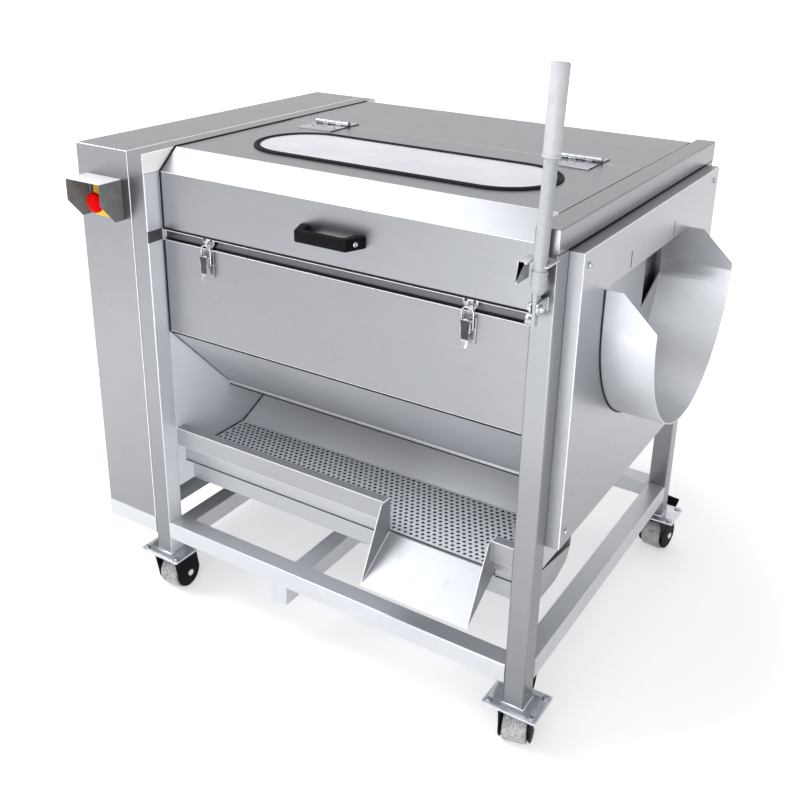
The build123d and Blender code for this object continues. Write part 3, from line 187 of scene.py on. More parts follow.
def brushed_steel(name, tone, along, rough=0.34, cloud=0.10, metal=1.0,
                  painted_highlight_below=None, painted_shade_above=None):
    """Brushed stainless sheet: grain along one axis, soft clouding and faint handling marks.
    Below the height painted_highlight_below it is a paler satin with a painted highlight, and above
    painted_shade_above it is painted dark as shade."""
    finish = Finish(name, metallic=metal)
    grain = finish.noise(2600, 3.0, 0.7, grain_stretch[along])
    streak = finish.noise(420, 2.0, 0.6, grain_stretch[along])
    clouds = finish.noise(5.5, 3.0, 0.55)
    marks = finish.fit(finish.noise(38, 4.0, 0.7), 0.56, 0.72)
    drawn = (grain - 0.5) * 0.16 + (streak - 0.5) * 0.10
    level = drawn + (clouds - 0.5) * (2 * cloud) - marks * 0.03 + 0.5
    colour = finish.mix(level, *shades(tone))
    roughness = (grain - 0.5) * 0.14 + (clouds - 0.5) * 0.12 + marks * 0.06 + rough
    if painted_highlight_below is not None:
        # Painted highlight: below the fold the sheet is paler, as lit.
        below = finish.axis("Z") < painted_highlight_below
        painted_highlight_colour = finish.mix(level, steel(0.34), steel(0.68))
        colour = finish.mix(below, colour, painted_highlight_colour)
        roughness = roughness + below * 0.14
        finish.feed("Metallic", 1.0 - below * 0.35)
    if painted_shade_above is not None:
        # Painted shade: the recessed strip above the shelf is dark, as shaded.
        above = finish.axis("Z") > painted_shade_above
        painted_shade_colour = finish.mix(level, steel(0.06), steel(0.16))
        colour = finish.mix(above, colour, painted_shade_colour)
    return finish.surface(
        colour,
        roughness,
        grain * 0.7 + streak * 0.3, 0.00004, 0.6,
    )


def tube_steel(name, tone):
    """Square tube with its grain along each length: upright below the side rails, level in them.
    The faces turned inwards on the left are a paler satin with a painted highlight, painted white on
    the rail as a highlight, and painted dark along the shelf band as shade."""
    finish = Finish(name)
    height = finish.axis("Z")
    rail_low = body_top - tube
    level_part = height > rail_low
    upright = finish.noise(2600, 3.0, 0.7, grain_stretch["Z"])
    level_grain = finish.noise(2600, 3.0, 0.7, grain_stretch["Y"])
    grain = upright + (level_grain - upright) * level_part
    clouds = finish.noise(7.0, 3.0, 0.55)
    from_seam = (height - rail_low).maths("ABSOLUTE", height - rail_low)
    seam = finish.fit(from_seam, 0.0004, 0.0011, 1.0, 0.0)
    mixed = (grain - 0.5) * 0.18 + (clouds - 0.5) * 0.22 - seam * 0.25 + 0.5
    across = finish.axis("X")
    inner_left = (across > at_left_inner - 0.0012) * (at_left_inner + 0.001 > across)
    # Painted light and shade: the inner faces are paler and the rail's inner side white, as lit; the
    # shelf band across the post is dark, as shaded.
    rail_painted_white = inner_left * (height > rail_low)
    shelf_painted_shade = inner_left * (height > shelf_low) * (shelf_high > height)
    plain = finish.mix(mixed, *shades(tone))
    painted_pale = finish.mix(mixed, steel(0.66), steel(0.94))
    painted_highlight_colour = finish.mix(inner_left, plain, painted_pale)
    with_painted_rail_white = finish.mix(rail_painted_white, painted_highlight_colour, grey(0.98))
    finish.feed("Metallic", 1.0 - inner_left * 0.5 - rail_painted_white * 0.5)
    return finish.surface(
        finish.mix(shelf_painted_shade, with_painted_rail_white, steel(0.10)),
        (grain - 0.5) * 0.14 + (clouds - 0.5) * 0.10 + inner_left * 0.12 + 0.33,
        grain - seam, 0.00005, 0.6,
    )


def rail_steel(name, tone):
    """Square tube of the base, whose front and back rails run across and whose bearers run back."""
    finish = Finish(name, metallic=0.6)
    across = finish.noise(2600, 3.0, 0.7, grain_stretch["X"])
    clouds = finish.noise(7.0, 3.0, 0.55)
    marks = finish.fit(finish.noise(60, 4.0, 0.7), 0.55, 0.72)
    mixed = (across - 0.5) * 0.18 + (clouds - 0.5) * 0.22 - marks * 0.04 + 0.5
    return finish.surface(
        finish.mix(mixed, *shades(tone)),
        (across - 0.5) * 0.14 + marks * 0.08 + 0.34,
        across, 0.00004, 0.6,
    )


def polished_steel(name, tone, rough=0.2):
    """Small turned and pressed fittings, brighter than the sheet, with fine scratches."""
    finish = Finish(name, metallic=1.0)
    scratches = finish.noise(2200, 2.0, 0.6, (1, 1, 0.1))
    dulled = finish.noise(90, 3.0, 0.6)
    level = scratches * 0.5 + dulled * 0.5
    return finish.surface(
        finish.mix(level, *shades(tone, 0.7, 1.25)),
        (scratches - 0.5) * 0.12 + (dulled - 0.5) * 0.16 + rough,
        scratches, 0.00003, 0.5,
    )


def edge_highlight_finish(name):
    """A painted highlight: the thin bright line along a fold or a cut edge."""
    finish = Finish(name, metallic=0.1)
    highlight_flecks = finish.noise(240, 3.0, 0.6)
    finish.feed("Base Color", finish.mix(highlight_flecks, steel(0.90), grey(1.0)))
    finish.feed("Roughness", highlight_flecks * 0.12 + 0.30)
    return finish.material


def moulded(name, dark, light, rough, bump=0.00008, shine=0.5):
    """Moulded plastic or rubber: a fine pebbled skin, slightly worn and dusty."""
    finish = Finish(name, metallic=0.0, specular_ior_level=shine)
    pebble = finish.noise(1400, 2.0, 0.6)
    dust = finish.noise(26, 4.0, 0.6)
    return finish.surface(
        finish.mix(finish.fit(dust, 0.3, 0.75), dark, light),
        (pebble - 0.5) * 0.12 + (dust - 0.5) * 0.16 + rough,
        pebble, bump, 0.7,
    )


def speckled(name):
    """Pale wheel tread with dark flecks of wear."""
    finish = Finish(name, metallic=0.0, specular_ior_level=0.3)
    flecks = finish.fit(finish.noise(420, 3.0, 0.7), 0.44, 0.58)
    patches = finish.fit(finish.noise(70, 3.0, 0.6), 0.35, 0.65)
    level = flecks * (patches * 0.6 + 0.25)
    return finish.surface(
        finish.mix(level, (0.52, 0.52, 0.53, 1), (0.05, 0.05, 0.055, 1)),
        patches * 0.2 + 0.5,
        flecks, 0.0002, 0.7,
    )


def painted(name, colour, worn, rough=0.42):
    """Sprayed paint with a slight orange peel, and thin wear."""
    finish = Finish(name, metallic=0.0)
    peel = finish.noise(700, 2.0, 0.5)
    wear = finish.noise(55, 5.0, 0.7)
    return finish.surface(
        finish.mix(finish.fit(wear, 0.56, 0.78), colour, worn),
        (peel - 0.5) * 0.1 + (wear - 0.5) * 0.2 + rough,
        peel, 0.00006, 0.6,
    )


def folded_cover(name, light_above):
    """Painted sheet cover: its top pale from the light, its sides and inside in dark grey."""
    finish = Finish(name, metallic=0.0, specular_ior_level=0.25)
    peel = finish.noise(700, 2.0, 0.5)
    wear = finish.noise(55, 5.0, 0.7)
    dark = finish.mix(finish.fit(wear, 0.5, 0.78), (0.15, 0.153, 0.153, 1), (0.22, 0.22, 0.22, 1))
    painted_pale = finish.mix(finish.fit(wear, 0.5, 0.78), (0.76, 0.76, 0.78, 1), (0.68, 0.68, 0.70, 1))
    return finish.surface(
        finish.mix(finish.axis("Z") > light_above, dark, painted_pale),
        (peel - 0.5) * 0.1 + (wear - 0.5) * 0.2 + 0.5,
        peel, 0.00006, 0.6,
    )


def clear_sheet(name):
    """Clouded clear plastic of the window."""
    finish = Finish(name, metallic=0.0, transmission_weight=0.25, ior=1.49)
    mist = finish.noise(6, 3.0, 0.55)
    level = finish.fit(mist, 0.25, 0.75)
    return finish.surface(
        finish.mix(level, (0.66, 0.65, 0.74, 1), (0.86, 0.86, 0.92, 1)),
        mist * 0.16 + 0.12,
        finish.noise(30, 2.0, 0.5), 0.00015, 0.3,
    )


def bristle_fibre(name):
    """Dense nylon bristle: painted dark between the tufts as shade, and pale at the tips."""
    finish = Finish(name, metallic=0.0)
    sockets = {"Vector": finish.place(), "Scale": 330.0}
    tuft = finish.node("ShaderNodeTexVoronoi", {"feature": "F1"}, sockets)
    clump = finish.noise(45, 3.0, 0.6)
    # Painted shade: dark between the tufts.
    level = finish.fit(tuft, 0.1, 0.75, 1.0, 0.0) * 0.8 + (clump - 0.5) * 0.5
    return finish.surface(
        finish.mix(level, (0.30, 0.31, 0.31, 1), (0.80, 0.80, 0.76, 1)),
        clump * 0.2 + 0.6,
        level, 0.0012, 0.9,
    )


def oiled_steel(name):
    """Dark oiled drive steel."""
    finish = Finish(name, metallic=1.0)
    oil = finish.noise(120, 4.0, 0.65)
    return finish.surface(
        finish.mix(oil, (0.10, 0.09, 0.08, 1), (0.36, 0.35, 0.33, 1)),
        oil * 0.3 + 0.22,
        oil, 0.0001, 0.5,
    )


sheet_across = brushed_steel("stainless sheet, grain across", 0.29, "X")
beam_sheet = brushed_steel("tray beam sheet", 0.35, "X", 0.42, 0.10, 0.7)
# The front panel: a painted highlight below its fold, and painted shade on the recessed strip above its
# shelf.
panel_sheet = brushed_steel(
    "front panel sheet", 0.262, "X", painted_highlight_below=panel_fold, painted_shade_above=panel_shelf,
)
inside_sheet = brushed_steel("satin inside sheet", 0.94, "X", 0.5, 0.08, 0.12)
tray_sheet = brushed_steel("satin tray sheet", 0.46, "X", 0.42, 0.10, 0.6)
# The holes' walls are painted dark as shade.
hole_wall_shade = polished_steel("hole walls in painted shade", 0.05, 0.5)
sheet_upright = brushed_steel("stainless sheet, grain upright", 0.35, "Z")
sheet_deep = brushed_steel("stainless sheet, grain front to back", 0.39, "Y", 0.42, 0.10, 0.75)
scoop_sheet = brushed_steel("scoop sheet", 0.565, "Y", 0.40, 0.34, 0.62)
post_steel = tube_steel("stainless tube of the uprights", 0.265)
base_steel = rail_steel("stainless tube of the base", 0.62)
fitting_steel = polished_steel("polished fittings", 0.48, 0.26)
bracket_sheet = brushed_steel("lever bracket sheet", 0.62, "X", 0.4, 0.1, 0.6)
plated_steel = polished_steel("plated caster steel", 0.68, 0.32)
axle_steel = polished_steel("bright axle nuts", 0.92, 0.4)
# Painted highlight for rounded edges, folds and bend lines.
painted_edge_highlight = edge_highlight_finish("painted highlight on edges")
black_moulding = moulded(
    "black moulding", (0.003, 0.003, 0.004, 1), (0.009, 0.009, 0.010, 1), 0.5, shine=0.06,
)
# Black for the window's rubber gasket, and for the thin lines of painted shade in gaps.
rubber_and_shade_black = moulded(
    "black gasket rubber", (0.004, 0.004, 0.005, 1), (0.014, 0.014, 0.015, 1), 0.65, shine=0.15,
)
# Dark grey: painted shade on the hinges' side faces, a painted dark reflection on the latch levers'
# fronts, and the catch screws' heads.
painted_shade_grey = moulded(
    "painted shade and dark reflection grey", (0.030, 0.031, 0.034, 1), (0.075, 0.076, 0.08, 1), 0.5, 0.00006, 0.2,
)
tread_rubber = speckled("speckled wheel tread")
grip_moulding = moulded("pale grip sleeve", (0.47, 0.46, 0.50, 1), (0.56, 0.55, 0.58, 1), 0.40)
lever_coat = painted("grey lever paint", (0.40, 0.415, 0.44, 1), (0.34, 0.355, 0.38, 1))
hood_coat = folded_cover("grey cover paint", hood_fold)
motor_coat = painted("motor paint", (0.10, 0.16, 0.24, 1), (0.20, 0.24, 0.28, 1))
plate_coat = painted("yellow plate paint", (0.92, 0.56, 0.03, 1), (0.80, 0.47, 0.05, 1), 0.5)
button_red = moulded(
    "red button plastic", (0.56, 0.0002, 0.0005, 1), (0.66, 0.001, 0.001, 1), 0.45, 0.00002, 0.04,
)
pane_plastic = clear_sheet("clouded clear pane")
brush_nylon = bristle_fibre("brush fibre")
drive_steel = oiled_steel("oiled drive steel")

heads = ("front_left", "front_right", "back_right", "back_left")
finish_of = {
    sheet_across: ["lid", "rear_panel", "notch_bracket", "drive_cabinet"],
    tray_sheet: ["water_trough"],
    beam_sheet: ["tray_beam"],
    panel_sheet: ["lower_front_panel"],
    inside_sheet: ["hopper_plate", "strainer_tray", "end_walls"],
    sheet_upright: ["side_cover", "service_panel", "gate"],
    sheet_deep: ["discharge_spout", "gate_guides"],
    scoop_sheet: ["scoop"],
    post_steel: ["upright_frame"],
    base_steel: ["base_rails"],
    fitting_steel: [
        "lid_hinge_leaves", "rear_hinge_leaves", "latch_bases", "latch_lever_left",
        "latch_lever_right", "latch_bail_left", "latch_bail_right", "cover_screws",
        "lever_clevis", "push_rod", "bell_crank", "spray_pipe",
    ],
    plated_steel: ["caster_plates"],
    black_moulding: ["lid_handle", "cable_gland"] + ["caster_fork_" + head for head in heads],
    rubber_and_shade_black: ["window_gasket"],
    tread_rubber: ["caster_wheel_" + head for head in heads],
    grip_moulding: ["lever_grip"],
    lever_coat: ["gate_lever"],
    hood_coat: ["switch_hood"],
    plate_coat: ["switch_plate"],
    button_red: ["stop_button"],
    motor_coat: ["gear_motor"],
    pane_plastic: ["window_pane"],
    brush_nylon: ["roller_%d" % number for number in range(1, 8)],
    drive_steel: ["drive_chain", "motor_sprocket", "roller_bearings"],
}
for material, names in finish_of.items():
    for name in names:
        nodes[name].data.materials.clear()
        nodes[name].data.materials.append(material)


def round_with_painted_highlight(node, width):
    """Rounds a sheet or tube node's sharp edges a little, and gives the rounding a painted highlight.
    """
    shape = nodes[node]
    shape.data.materials.append(painted_edge_highlight)
    weld = shape.modifiers.new("joined corners", "WELD")
    weld.merge_threshold = 0.00002
    flat = shape.modifiers.new("whole faces", "DECIMATE")
    flat.decimate_type = "DISSOLVE"
    flat.angle_limit = radians(0.5)
    bevel = shape.modifiers.new("highlighted bends", "BEVEL")
    bevel.width = width
    bevel.segments = 2
    bevel.limit_method = "ANGLE"
    bevel.angle_limit = radians(40)
    bevel.material = 1
    bevel.use_clamp_overlap = True


for node in (
    "lid", "lower_front_panel", "hopper_plate", "rear_panel", "tray_beam", "drive_cabinet",
    "service_panel", "side_cover", "scoop", "discharge_spout", "notch_bracket",
):
    round_with_painted_highlight(node, 0.0009)
for node in ("upright_frame", "base_rails"):
    round_with_painted_highlight(node, 0.0018)


# Modelling tools -----------------------------------------------------------------
def at(x, y, z):
    """A place in metres, from millimetres off the cabinet's left, the post fronts and the floor."""
    return Vector((stand_low.x + (x - 140) * mm, stand_low.y + y * mm, z * mm))


def route(*places):
    """Places in metres, from millimetres as at() takes them."""
    return [at(*place) for place in places]


def deselect():
    bpy.ops.object.select_all(action="DESELECT")


def named(name):
    piece = bpy.context.object
    piece.name = name
    piece.data.name = name
    bpy.ops.object.transform_apply(location=True, rotation=True, scale=True)
    return piece


def block(name, low, high):
    """A block between two corners, given in millimetres as at() takes them."""
    deselect()
    low, high = at(*low), at(*high)
    bpy.ops.mesh.primitive_cube_add(size=1, location=(low + high) / 2, scale=high - low)
    return named(name)


def bar(name, start, end, radius, sides=32, end_radius=None):
    """A round bar between two places in metres, or a cone where the end radius differs."""
    deselect()
    start, end = Vector(start), Vector(end)
    run = end - start
    turn = run.to_track_quat("Z", "Y").to_euler()
    bpy.ops.mesh.primitive_cone_add(
        vertices=sides, radius1=radius, radius2=radius if end_radius is None else end_radius,
        depth=run.length, location=(start + end) / 2, rotation=turn,
    )
    return named(name)


def only(piece):
    deselect()
    piece.select_set(True)
    bpy.context.view_layer.objects.active = piece


@contextmanager
def editing(piece, kind="FACE"):
    only(piece)
    bpy.ops.object.mode_set(mode="EDIT")
    bpy.ops.mesh.select_mode(type=kind)
    bpy.ops.mesh.select_all(action="DESELECT")
    yield
    bpy.ops.object.mode_set(mode="OBJECT")


def pick(kind, passes):
    """Selects the verts, edges or faces that pass, and nothing else."""
    mesh = bmesh.from_edit_mesh(bpy.context.object.data)
    bpy.ops.mesh.select_all(action="DESELECT")
    for part in getattr(mesh, kind):
        part.select_set(bool(passes(part)))
    if kind == "verts":
        mesh.select_flush(True)
    bmesh.update_edit_mesh(bpy.context.object.data)


def pick_faces(test):
    """Selects the faces whose centre and normal pass."""
    pick("faces", lambda face: test(face.calc_center_median(), face.normal))


def pick_edges(test):
    """Selects the edges whose middle and direction pass."""
    def passes(edge):
        first, second = edge.verts
        return test((first.co + second.co) / 2, (second.co - first.co).normalized())

    pick("edges", passes)


def pick_points(test):
    pick("verts", lambda point: test(point.co))


def extrude(value):
    bpy.ops.mesh.extrude_region_move(TRANSFORM_OT_translate={"value": value})


def inset(width):
    bpy.ops.mesh.inset(thickness=width)


def push(value):
    bpy.ops.transform.translate(value=value)


def spread(value, **settings):
    bpy.ops.transform.resize(value=value, **settings)


def along(normal, axis):
    """Whether a normal points along an axis."""
    return normal.dot(Vector(axis)) > 0.95


def facing(*axis):
    """A test for the faces whose normals point along an axis."""
    return lambda centre, normal: along(normal, axis)


def apply(piece, kind, **settings):
    only(piece)
    modifier = piece.modifiers.new(kind.lower(), kind)
    for setting, value in settings.items():
        setattr(modifier, setting, value)
    bpy.ops.object.modifier_apply(modifier=modifier.name)
    return piece


def smooth(piece, angle):
    only(piece)
    bpy.ops.object.shade_smooth_by_angle(angle=radians(angle))
    return piece


def rounded(piece, width, segments=2, angle=30):
    """Rounds the sharp edges and shades the rest smoothly."""
    apply(
        piece, "BEVEL", width=width, segments=segments, limit_method="ANGLE",
        angle_limit=radians(angle), use_clamp_overlap=True,
    )
    return smooth(piece, 35)


def joined(name, pieces):
    deselect()
    for piece in pieces:
        piece.select_set(True)
    bpy.context.view_layer.objects.active = pieces[0]
    if len(pieces) > 1:
        bpy.ops.object.join()
    pieces[0].name = name
    pieces[0].data.name = name
    return pieces[0]


def copied(piece, name, matrix):
    """A copy with its own mesh, moved by a matrix that goes into the mesh."""
    twin = piece.copy()
    twin.data = piece.data.copy()
    twin.name = name
    twin.data.name = name
    twin.data.transform(matrix)
    scene.collection.objects.link(twin)
    return twin


def solid_copy(name, node):
    """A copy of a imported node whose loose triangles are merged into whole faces."""
    twin = nodes[node].copy()
    twin.data = nodes[node].data.copy()
    twin.modifiers.clear()
    twin.parent = None
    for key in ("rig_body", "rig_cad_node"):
        if key in twin:
            del twin[key]
    twin.hide_render = twin.hide_viewport = False
    twin.name = name
    twin.data.name = name
    twin.data.materials.clear()
    scene.collection.objects.link(twin)
    with editing(twin):
        bpy.ops.mesh.select_all(action="SELECT")
        bpy.ops.mesh.remove_doubles(threshold=0.00002)
        bpy.ops.mesh.dissolve_limited(angle_limit=radians(0.5))
    return twin


def wire(name, points, radius, closed=False, sides=3):
    """A round wire through points in metres."""
    curve = bpy.data.curves.new(name, "CURVE")
    curve.dimensions = "3D"
    spline = curve.splines.new("POLY")
    spline.points.add(len(points) - 1)
    for point, place in zip(spline.points, points):
        point.co = (*place, 1)
    spline.use_cyclic_u = closed
    curve.bevel_depth = radius
    curve.bevel_resolution = sides
    curve.use_fill_caps = not closed
    made = bpy.data.objects.new(name, curve)
    scene.collection.objects.link(made)
    only(made)
    bpy.ops.object.convert(target="MESH")
    made = bpy.context.object
    bpy.ops.object.shade_smooth_by_angle(angle=radians(50))
    return made


def dress(piece, material, body, slot, *replaced):
    """Gives a piece its finish and its body, and hides the nodes it stands for. The slot is not used.
    """
    if material is not None:
        piece.data.materials.clear()
        piece.data.materials.append(material)
    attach(piece, body)
    if replaced:
        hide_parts(*replaced)
    return piece


def polished(name, pieces, body, *replaced):
    """Joins pieces into one set of polished fittings."""
    return dress(joined(name, pieces), fitting_steel, body, "polished_fittings", *replaced)


def joined_in_black(name, pieces, body, *replaced):
    """Joins pieces into one black piece, for the window's rubber seal and for the black lines of
    painted shade.
    """
    return dress(joined(name, pieces), rubber_and_shade_black, body, "black_rubber", *replaced)


def repeated(piece, count, step, **settings):
    """Repeats a piece at a constant step in metres."""
    return apply(
        piece, "ARRAY", count=count, use_relative_offset=False, use_constant_offset=True,
        constant_offset_displace=step, **settings,
    )


def stepped(piece, outward, *steps):
    """Insets the face that looks outwards by widths, each ring raised or sunk by a little."""
    outward = Vector(outward)
    with editing(piece):
        pick_faces(facing(*outward))
        for width, rise in steps:
            inset(width)
            push(outward * rise)


def part_finish(piece, material, test):
    """Gives another finish to the faces whose centre and normal pass."""
    piece.data.materials.append(material)
    index = len(piece.data.materials) - 1
    for face in piece.data.polygons:
        if test(face.center, face.normal):
            face.material_index = index


def socket_screw(name, seat, outward, radius, height, sides=20):
    """A button-head screw with a sunk socket, from its seat outwards."""
    outward = Vector(outward).normalized()
    seat = Vector(seat)
    screw = bar(name, seat - outward * 0.0002, seat + outward * height, radius, sides)
    with editing(screw):
        pick_faces(facing(*outward))
        inset(radius * 0.28)
        push(outward * height * 0.25)
        inset(radius * 0.26)
        extrude(-outward * height * 0.6)
    return rounded(screw, radius * 0.06, 1, 40)


def screws_at(name, places, outward, radius, height, sides=20):
    """Socket screws at places given in millimetres."""
    return [socket_screw(name, at(*place), outward, radius, height, sides) for place in places]


def hex_bolt(name, seat, outward, radius, height):
    """A washer and a chamfered hexagon head, from its seat outwards."""
    outward = Vector(outward).normalized()
    seat = Vector(seat)
    sunk = seat - outward * 0.0002
    washer = bar(name + "_washer", sunk, seat + outward * height * 0.2, radius * 1.25, 28)
    head = bar(name + "_head", seat, seat + outward * height, radius, 6)
    stepped(head, outward, (radius * 0.14, height * 0.08))
    rounded(head, radius * 0.06, 2, 25)
    rounded(washer, radius * 0.05, 1, 40)
    return joined(name, [head, washer])


def cut(piece, cutter):
    """Takes the cutter's shape out of the piece."""
    apply(piece, "BOOLEAN", operation="DIFFERENCE", object=cutter, solver="EXACT")
    bpy.data.objects.remove(cutter)
    return piece


# Lid fittings --------------------------------------------------------------------
window_x, window_y = 591, 251
window_long, window_wide = 640, 210
hinge_centres = (296, 868)
hinge_half, knuckle_step = 42.5, 17
hinge_y, hinge_z = 447, 992
latch_centres = (("left", 297), ("right", 861))
latch_y, latch_z = 33, 797
catch_screw_sides, catch_screw_z = (-8.5, 8.5), 829


def bow_handle():
    """The moulded bow handle: a flat-fronted grip on two splayed feet, each with a sunk screw."""
    handle = solid_copy("bow_handle", "lid_handle")
    with editing(handle, "EDGE"):
        grip_back, foot_front = at(0, 10, 0).y, at(0, 38, 0).y
        pick_edges(lambda middle, run: abs(run.z) > 0.9 and grip_back < middle.y < foot_front)
        bpy.ops.mesh.bevel(offset=0.005, segments=4)
    rounded(handle, 0.0026, 4, 28)
    screws = []
    for side in (1, -1):
        slope = Vector((side * 40, -16, 0)).normalized()
        seat = at(588 + side * 62, 20, 890)
        cut(handle, bar("counterbore", seat - slope * 0.0028, seat + slope * 0.012, 0.0056, 28))
        screws.append(socket_screw("handle_screw", seat - slope * 0.0030, slope, 0.0049, 0.0034, 24))
    dress(handle, black_moulding, "lid", "black_plastic", "lid_handle")
    polished("handle_screws", screws, "lid")


def round_window(height, margin, steps=24):
    """Places round the window's half-round ends, at a height and a margin inside the edge."""
    radius = window_wide / 2 - margin
    reach = (window_long - window_wide) / 2
    places = []
    for side in (1, -1):
        for step in range(steps + 1):
            angle = -pi / 2 + pi * step / steps
            across = side * (reach + radius * cos(angle))
            places.append(at(window_x + across, window_y + side * radius * sin(angle), height))
    return places


def window_seal():
    """The rubber gasket: its flat band with an outer and an inner bead and the groove between them."""
    band = solid_copy("window_seal", "window_gasket")
    outer = wire("outer_bead", round_window(987.4, 3.2), 0.0030, True, 4)
    inner = wire("inner_bead", round_window(987.6, 10.6), 0.0023, True, 4)
    with editing(band):
        pick_faces(lambda centre, normal: along(normal, (0, 0, 1)) and centre.z > body_top + 0.002)
        push((0, 0, -0.0012))
    joined_in_black("window_seal", [band, outer, inner], "lid", "window_gasket")


def butt_hinge(centre_x):
    """Leaves with screws and a barrel of five knuckles; returns the lid's and the frame's halves."""
    halves = []
    left, right = centre_x - hinge_half, centre_x + hinge_half
    for half, knuckles, low, high in (("lid", (1, 3), 379, 441.6), ("rear", (0, 2, 4), 452.4, 485)):
        leaf = block("%s_leaf" % half, (left, low, 986), (right, high, 988.4))
        rounded(leaf, 0.0007, 2)
        parts = [leaf]
        for index in knuckles:
            start = left + index * knuckle_step + 0.15
            end = start + knuckle_step - 0.3
            knuckle = bar("knuckle", at(start, hinge_y, hinge_z), at(end, hinge_y, hinge_z), 0.005, 28)
            rounded(knuckle, 0.0004, 1, 50)
            parts.append(knuckle)
            wrap = (high, hinge_y) if half == "lid" else (hinge_y, low)
            parts.append(block("wrap", (start, wrap[0] - 1, 987), (end, wrap[1] + 1, 988.4)))
        seats = [(x, (low + high) / 2, 988.2) for x in (centre_x - 28, centre_x, centre_x + 28)]
        parts += screws_at("leaf_screw", seats, (0, 0, 1), 0.0036, 0.0014)
        halves.append(joined("%s_hinge_half" % half, parts))
    return halves


def toggle_latch(side, x):
    """A draw latch: its base with screws, the channel lever with a turned-up finger, and the bail."""
    base = block("base_plate", (x - 14, 38.5, 757), (x + 14, 40, 803))
    stepped(base, (0, -1, 0), (0.003, 0.0005))
    rounded(base, 0.0006, 2)
    lug = block("lug", (x - 4.6, 28.6, 793.2), (x + 4.6, 38.6, 800.8))
    rounded(lug, 0.0016, 3)
    pin = bar("pivot_pin", at(x - 9.6, latch_y, latch_z), at(x + 9.6, latch_y, latch_z), 0.0025, 20)
    rounded(pin, 0.0005, 2, 50)
    outward = (0, -1, 0)
    seats = ((x - 9.5, 38.4, 761.5), (x + 9.5, 38.4, 761.5))
    screws = screws_at("base_screw", seats, outward, 0.0026, 0.0012)
    fixed = joined("latch_%s_base" % side, [base, lug, pin] + screws)

    face = block("channel_face", (x - 9, 25, 765), (x + 9, 26.5, 800.4))
    with editing(face):
        pick_faces(facing(0, 0, -1))
        spread((0.70, 1, 1))
        extrude((0, -0.0008, -0.006))
        extrude((0, -0.0028, -0.006))
        spread((0.9, 1, 1))
        pick_faces(lambda centre, normal: along(normal, (0, -1, 0)) and centre.z > at(0, 0, 765).z)
        inset(0.0012)
        push((0, 0.0004, 0))
    rounded(face, 0.0004, 2)
    cheeks = []
    for low, high in ((x - 9, x - 7.5), (x + 7.5, x + 9)):
        cheek = block("cheek", (low, 25.5, 778), (high, 35.6, 800.4))
        with editing(cheek):
            pick_edges(lambda middle, run: abs(run.x) > 0.9 and middle.y > at(0, 33, 0).y)
            bpy.ops.mesh.bevel(offset=0.003, segments=4)
        cheeks.append(cheek)
    lever = joined("latch_%s_channel" % side, [face] + cheeks)

    half, hooked, bail_low, bail_bend, bail_high = 10.9, 8.4, 783, 786, 812
    outline = [(-hooked, bail_low), (-half, bail_low), (-half, bail_bend), (-half, bail_high)]
    for step in range(1, 9):
        angle = pi * step / 9
        outline.append((-half * cos(angle), bail_high + hooked * sin(angle)))
    outline += [(half, bail_high), (half, bail_bend), (half, bail_low), (hooked, bail_low)]
    places = [at(x + across, latch_y, height) for across, height in outline]
    bail = wire("latch_%s_bail" % side, places, 0.0016, False, 3)

    tail = block("catch", (x - 5.6, 40.3, 812.2), (x + 5.6, 42.1, 822.8))
    with editing(tail):
        pick_faces(facing(0, 0, 1))
        extrude((0, 0, 0.0035))
        spread((2.45, 1, 1))
        extrude((0, 0, 0.0075))
        pick_faces(facing(0, 0, -1))
        extrude((0, -0.0022, 0.0006))
    rounded(tail, 0.0004, 2)
    seats = [(x + dx, 40.3, catch_screw_z) for dx in catch_screw_sides]
    rivets = screws_at("catch_screw", seats, outward, 0.0026, 0.0008)
    catch = joined("latch_%s_catch" % side, [tail] + rivets)
    return fixed, lever, bail, catch


bow_handle()
window_seal()
lid_halves, rear_halves = [], []
for centre_x in hinge_centres:
    lid_half, rear_half = butt_hinge(centre_x)
    lid_halves.append(lid_half)
    rear_halves.append(rear_half)
pins = []
for x in hinge_centres:
    low, high = x - hinge_half - 0.7, x + hinge_half + 0.7
    pins.append(bar("hinge_pin", at(low, hinge_y, hinge_z), at(high, hinge_y, hinge_z), 0.003, 20))
rear_halves += [rounded(pin, 0.0006, 2, 50) for pin in pins]
lid_leaves = polished("hinge_lid_halves", lid_halves, "lid", "lid_hinge_leaves")
rear_leaves = polished("hinge_rear_halves", rear_halves, "frame", "rear_hinge_leaves")
for leaves in (lid_leaves, rear_leaves):
    # The hinges' faces turned to +X are painted dark as shade.
    part_finish(leaves, painted_shade_grey, lambda centre, normal: normal.x > 0.9)
bases = []
for side, x in latch_centres:
    fixed, lever, bail, catch = toggle_latch(side, x)
    bases.append(fixed)
    dress(lever, fitting_steel, "latch_" + side, "polished_fittings", "latch_lever_" + side)
    face_low, face_high = at(x - 8, 0, 768), at(x + 8, 0, 799)
    # The lever's front is painted dark as a reflection.
    part_finish(lever, painted_shade_grey, lambda centre, normal: (
        normal.y < -0.9 and face_low.z < centre.z < face_high.z and face_low.x < centre.x < face_high.x
    ))
    dress(bail, fitting_steel, "bail_" + side, "polished_fittings", "latch_bail_" + side)
    dress(catch, fitting_steel, "lid", "polished_fittings")
    holes = [at(x + dx, 40, catch_screw_z) for dx in catch_screw_sides]
    # The catch's screw heads take the same dark grey.
    part_finish(catch, painted_shade_grey, lambda centre, normal: (
        min((centre - hole).length for hole in holes) < 0.0027
    ))
plates = polished("latch_base_plates", bases, "frame", "latch_bases")
plate_front = at(0, 37.6, 0).y
part_finish(plates, panel_sheet, lambda centre, normal: centre.y > plate_front)


# Stop switch ---------------------------------------------------------------------
button_x, button_z = 74, 882


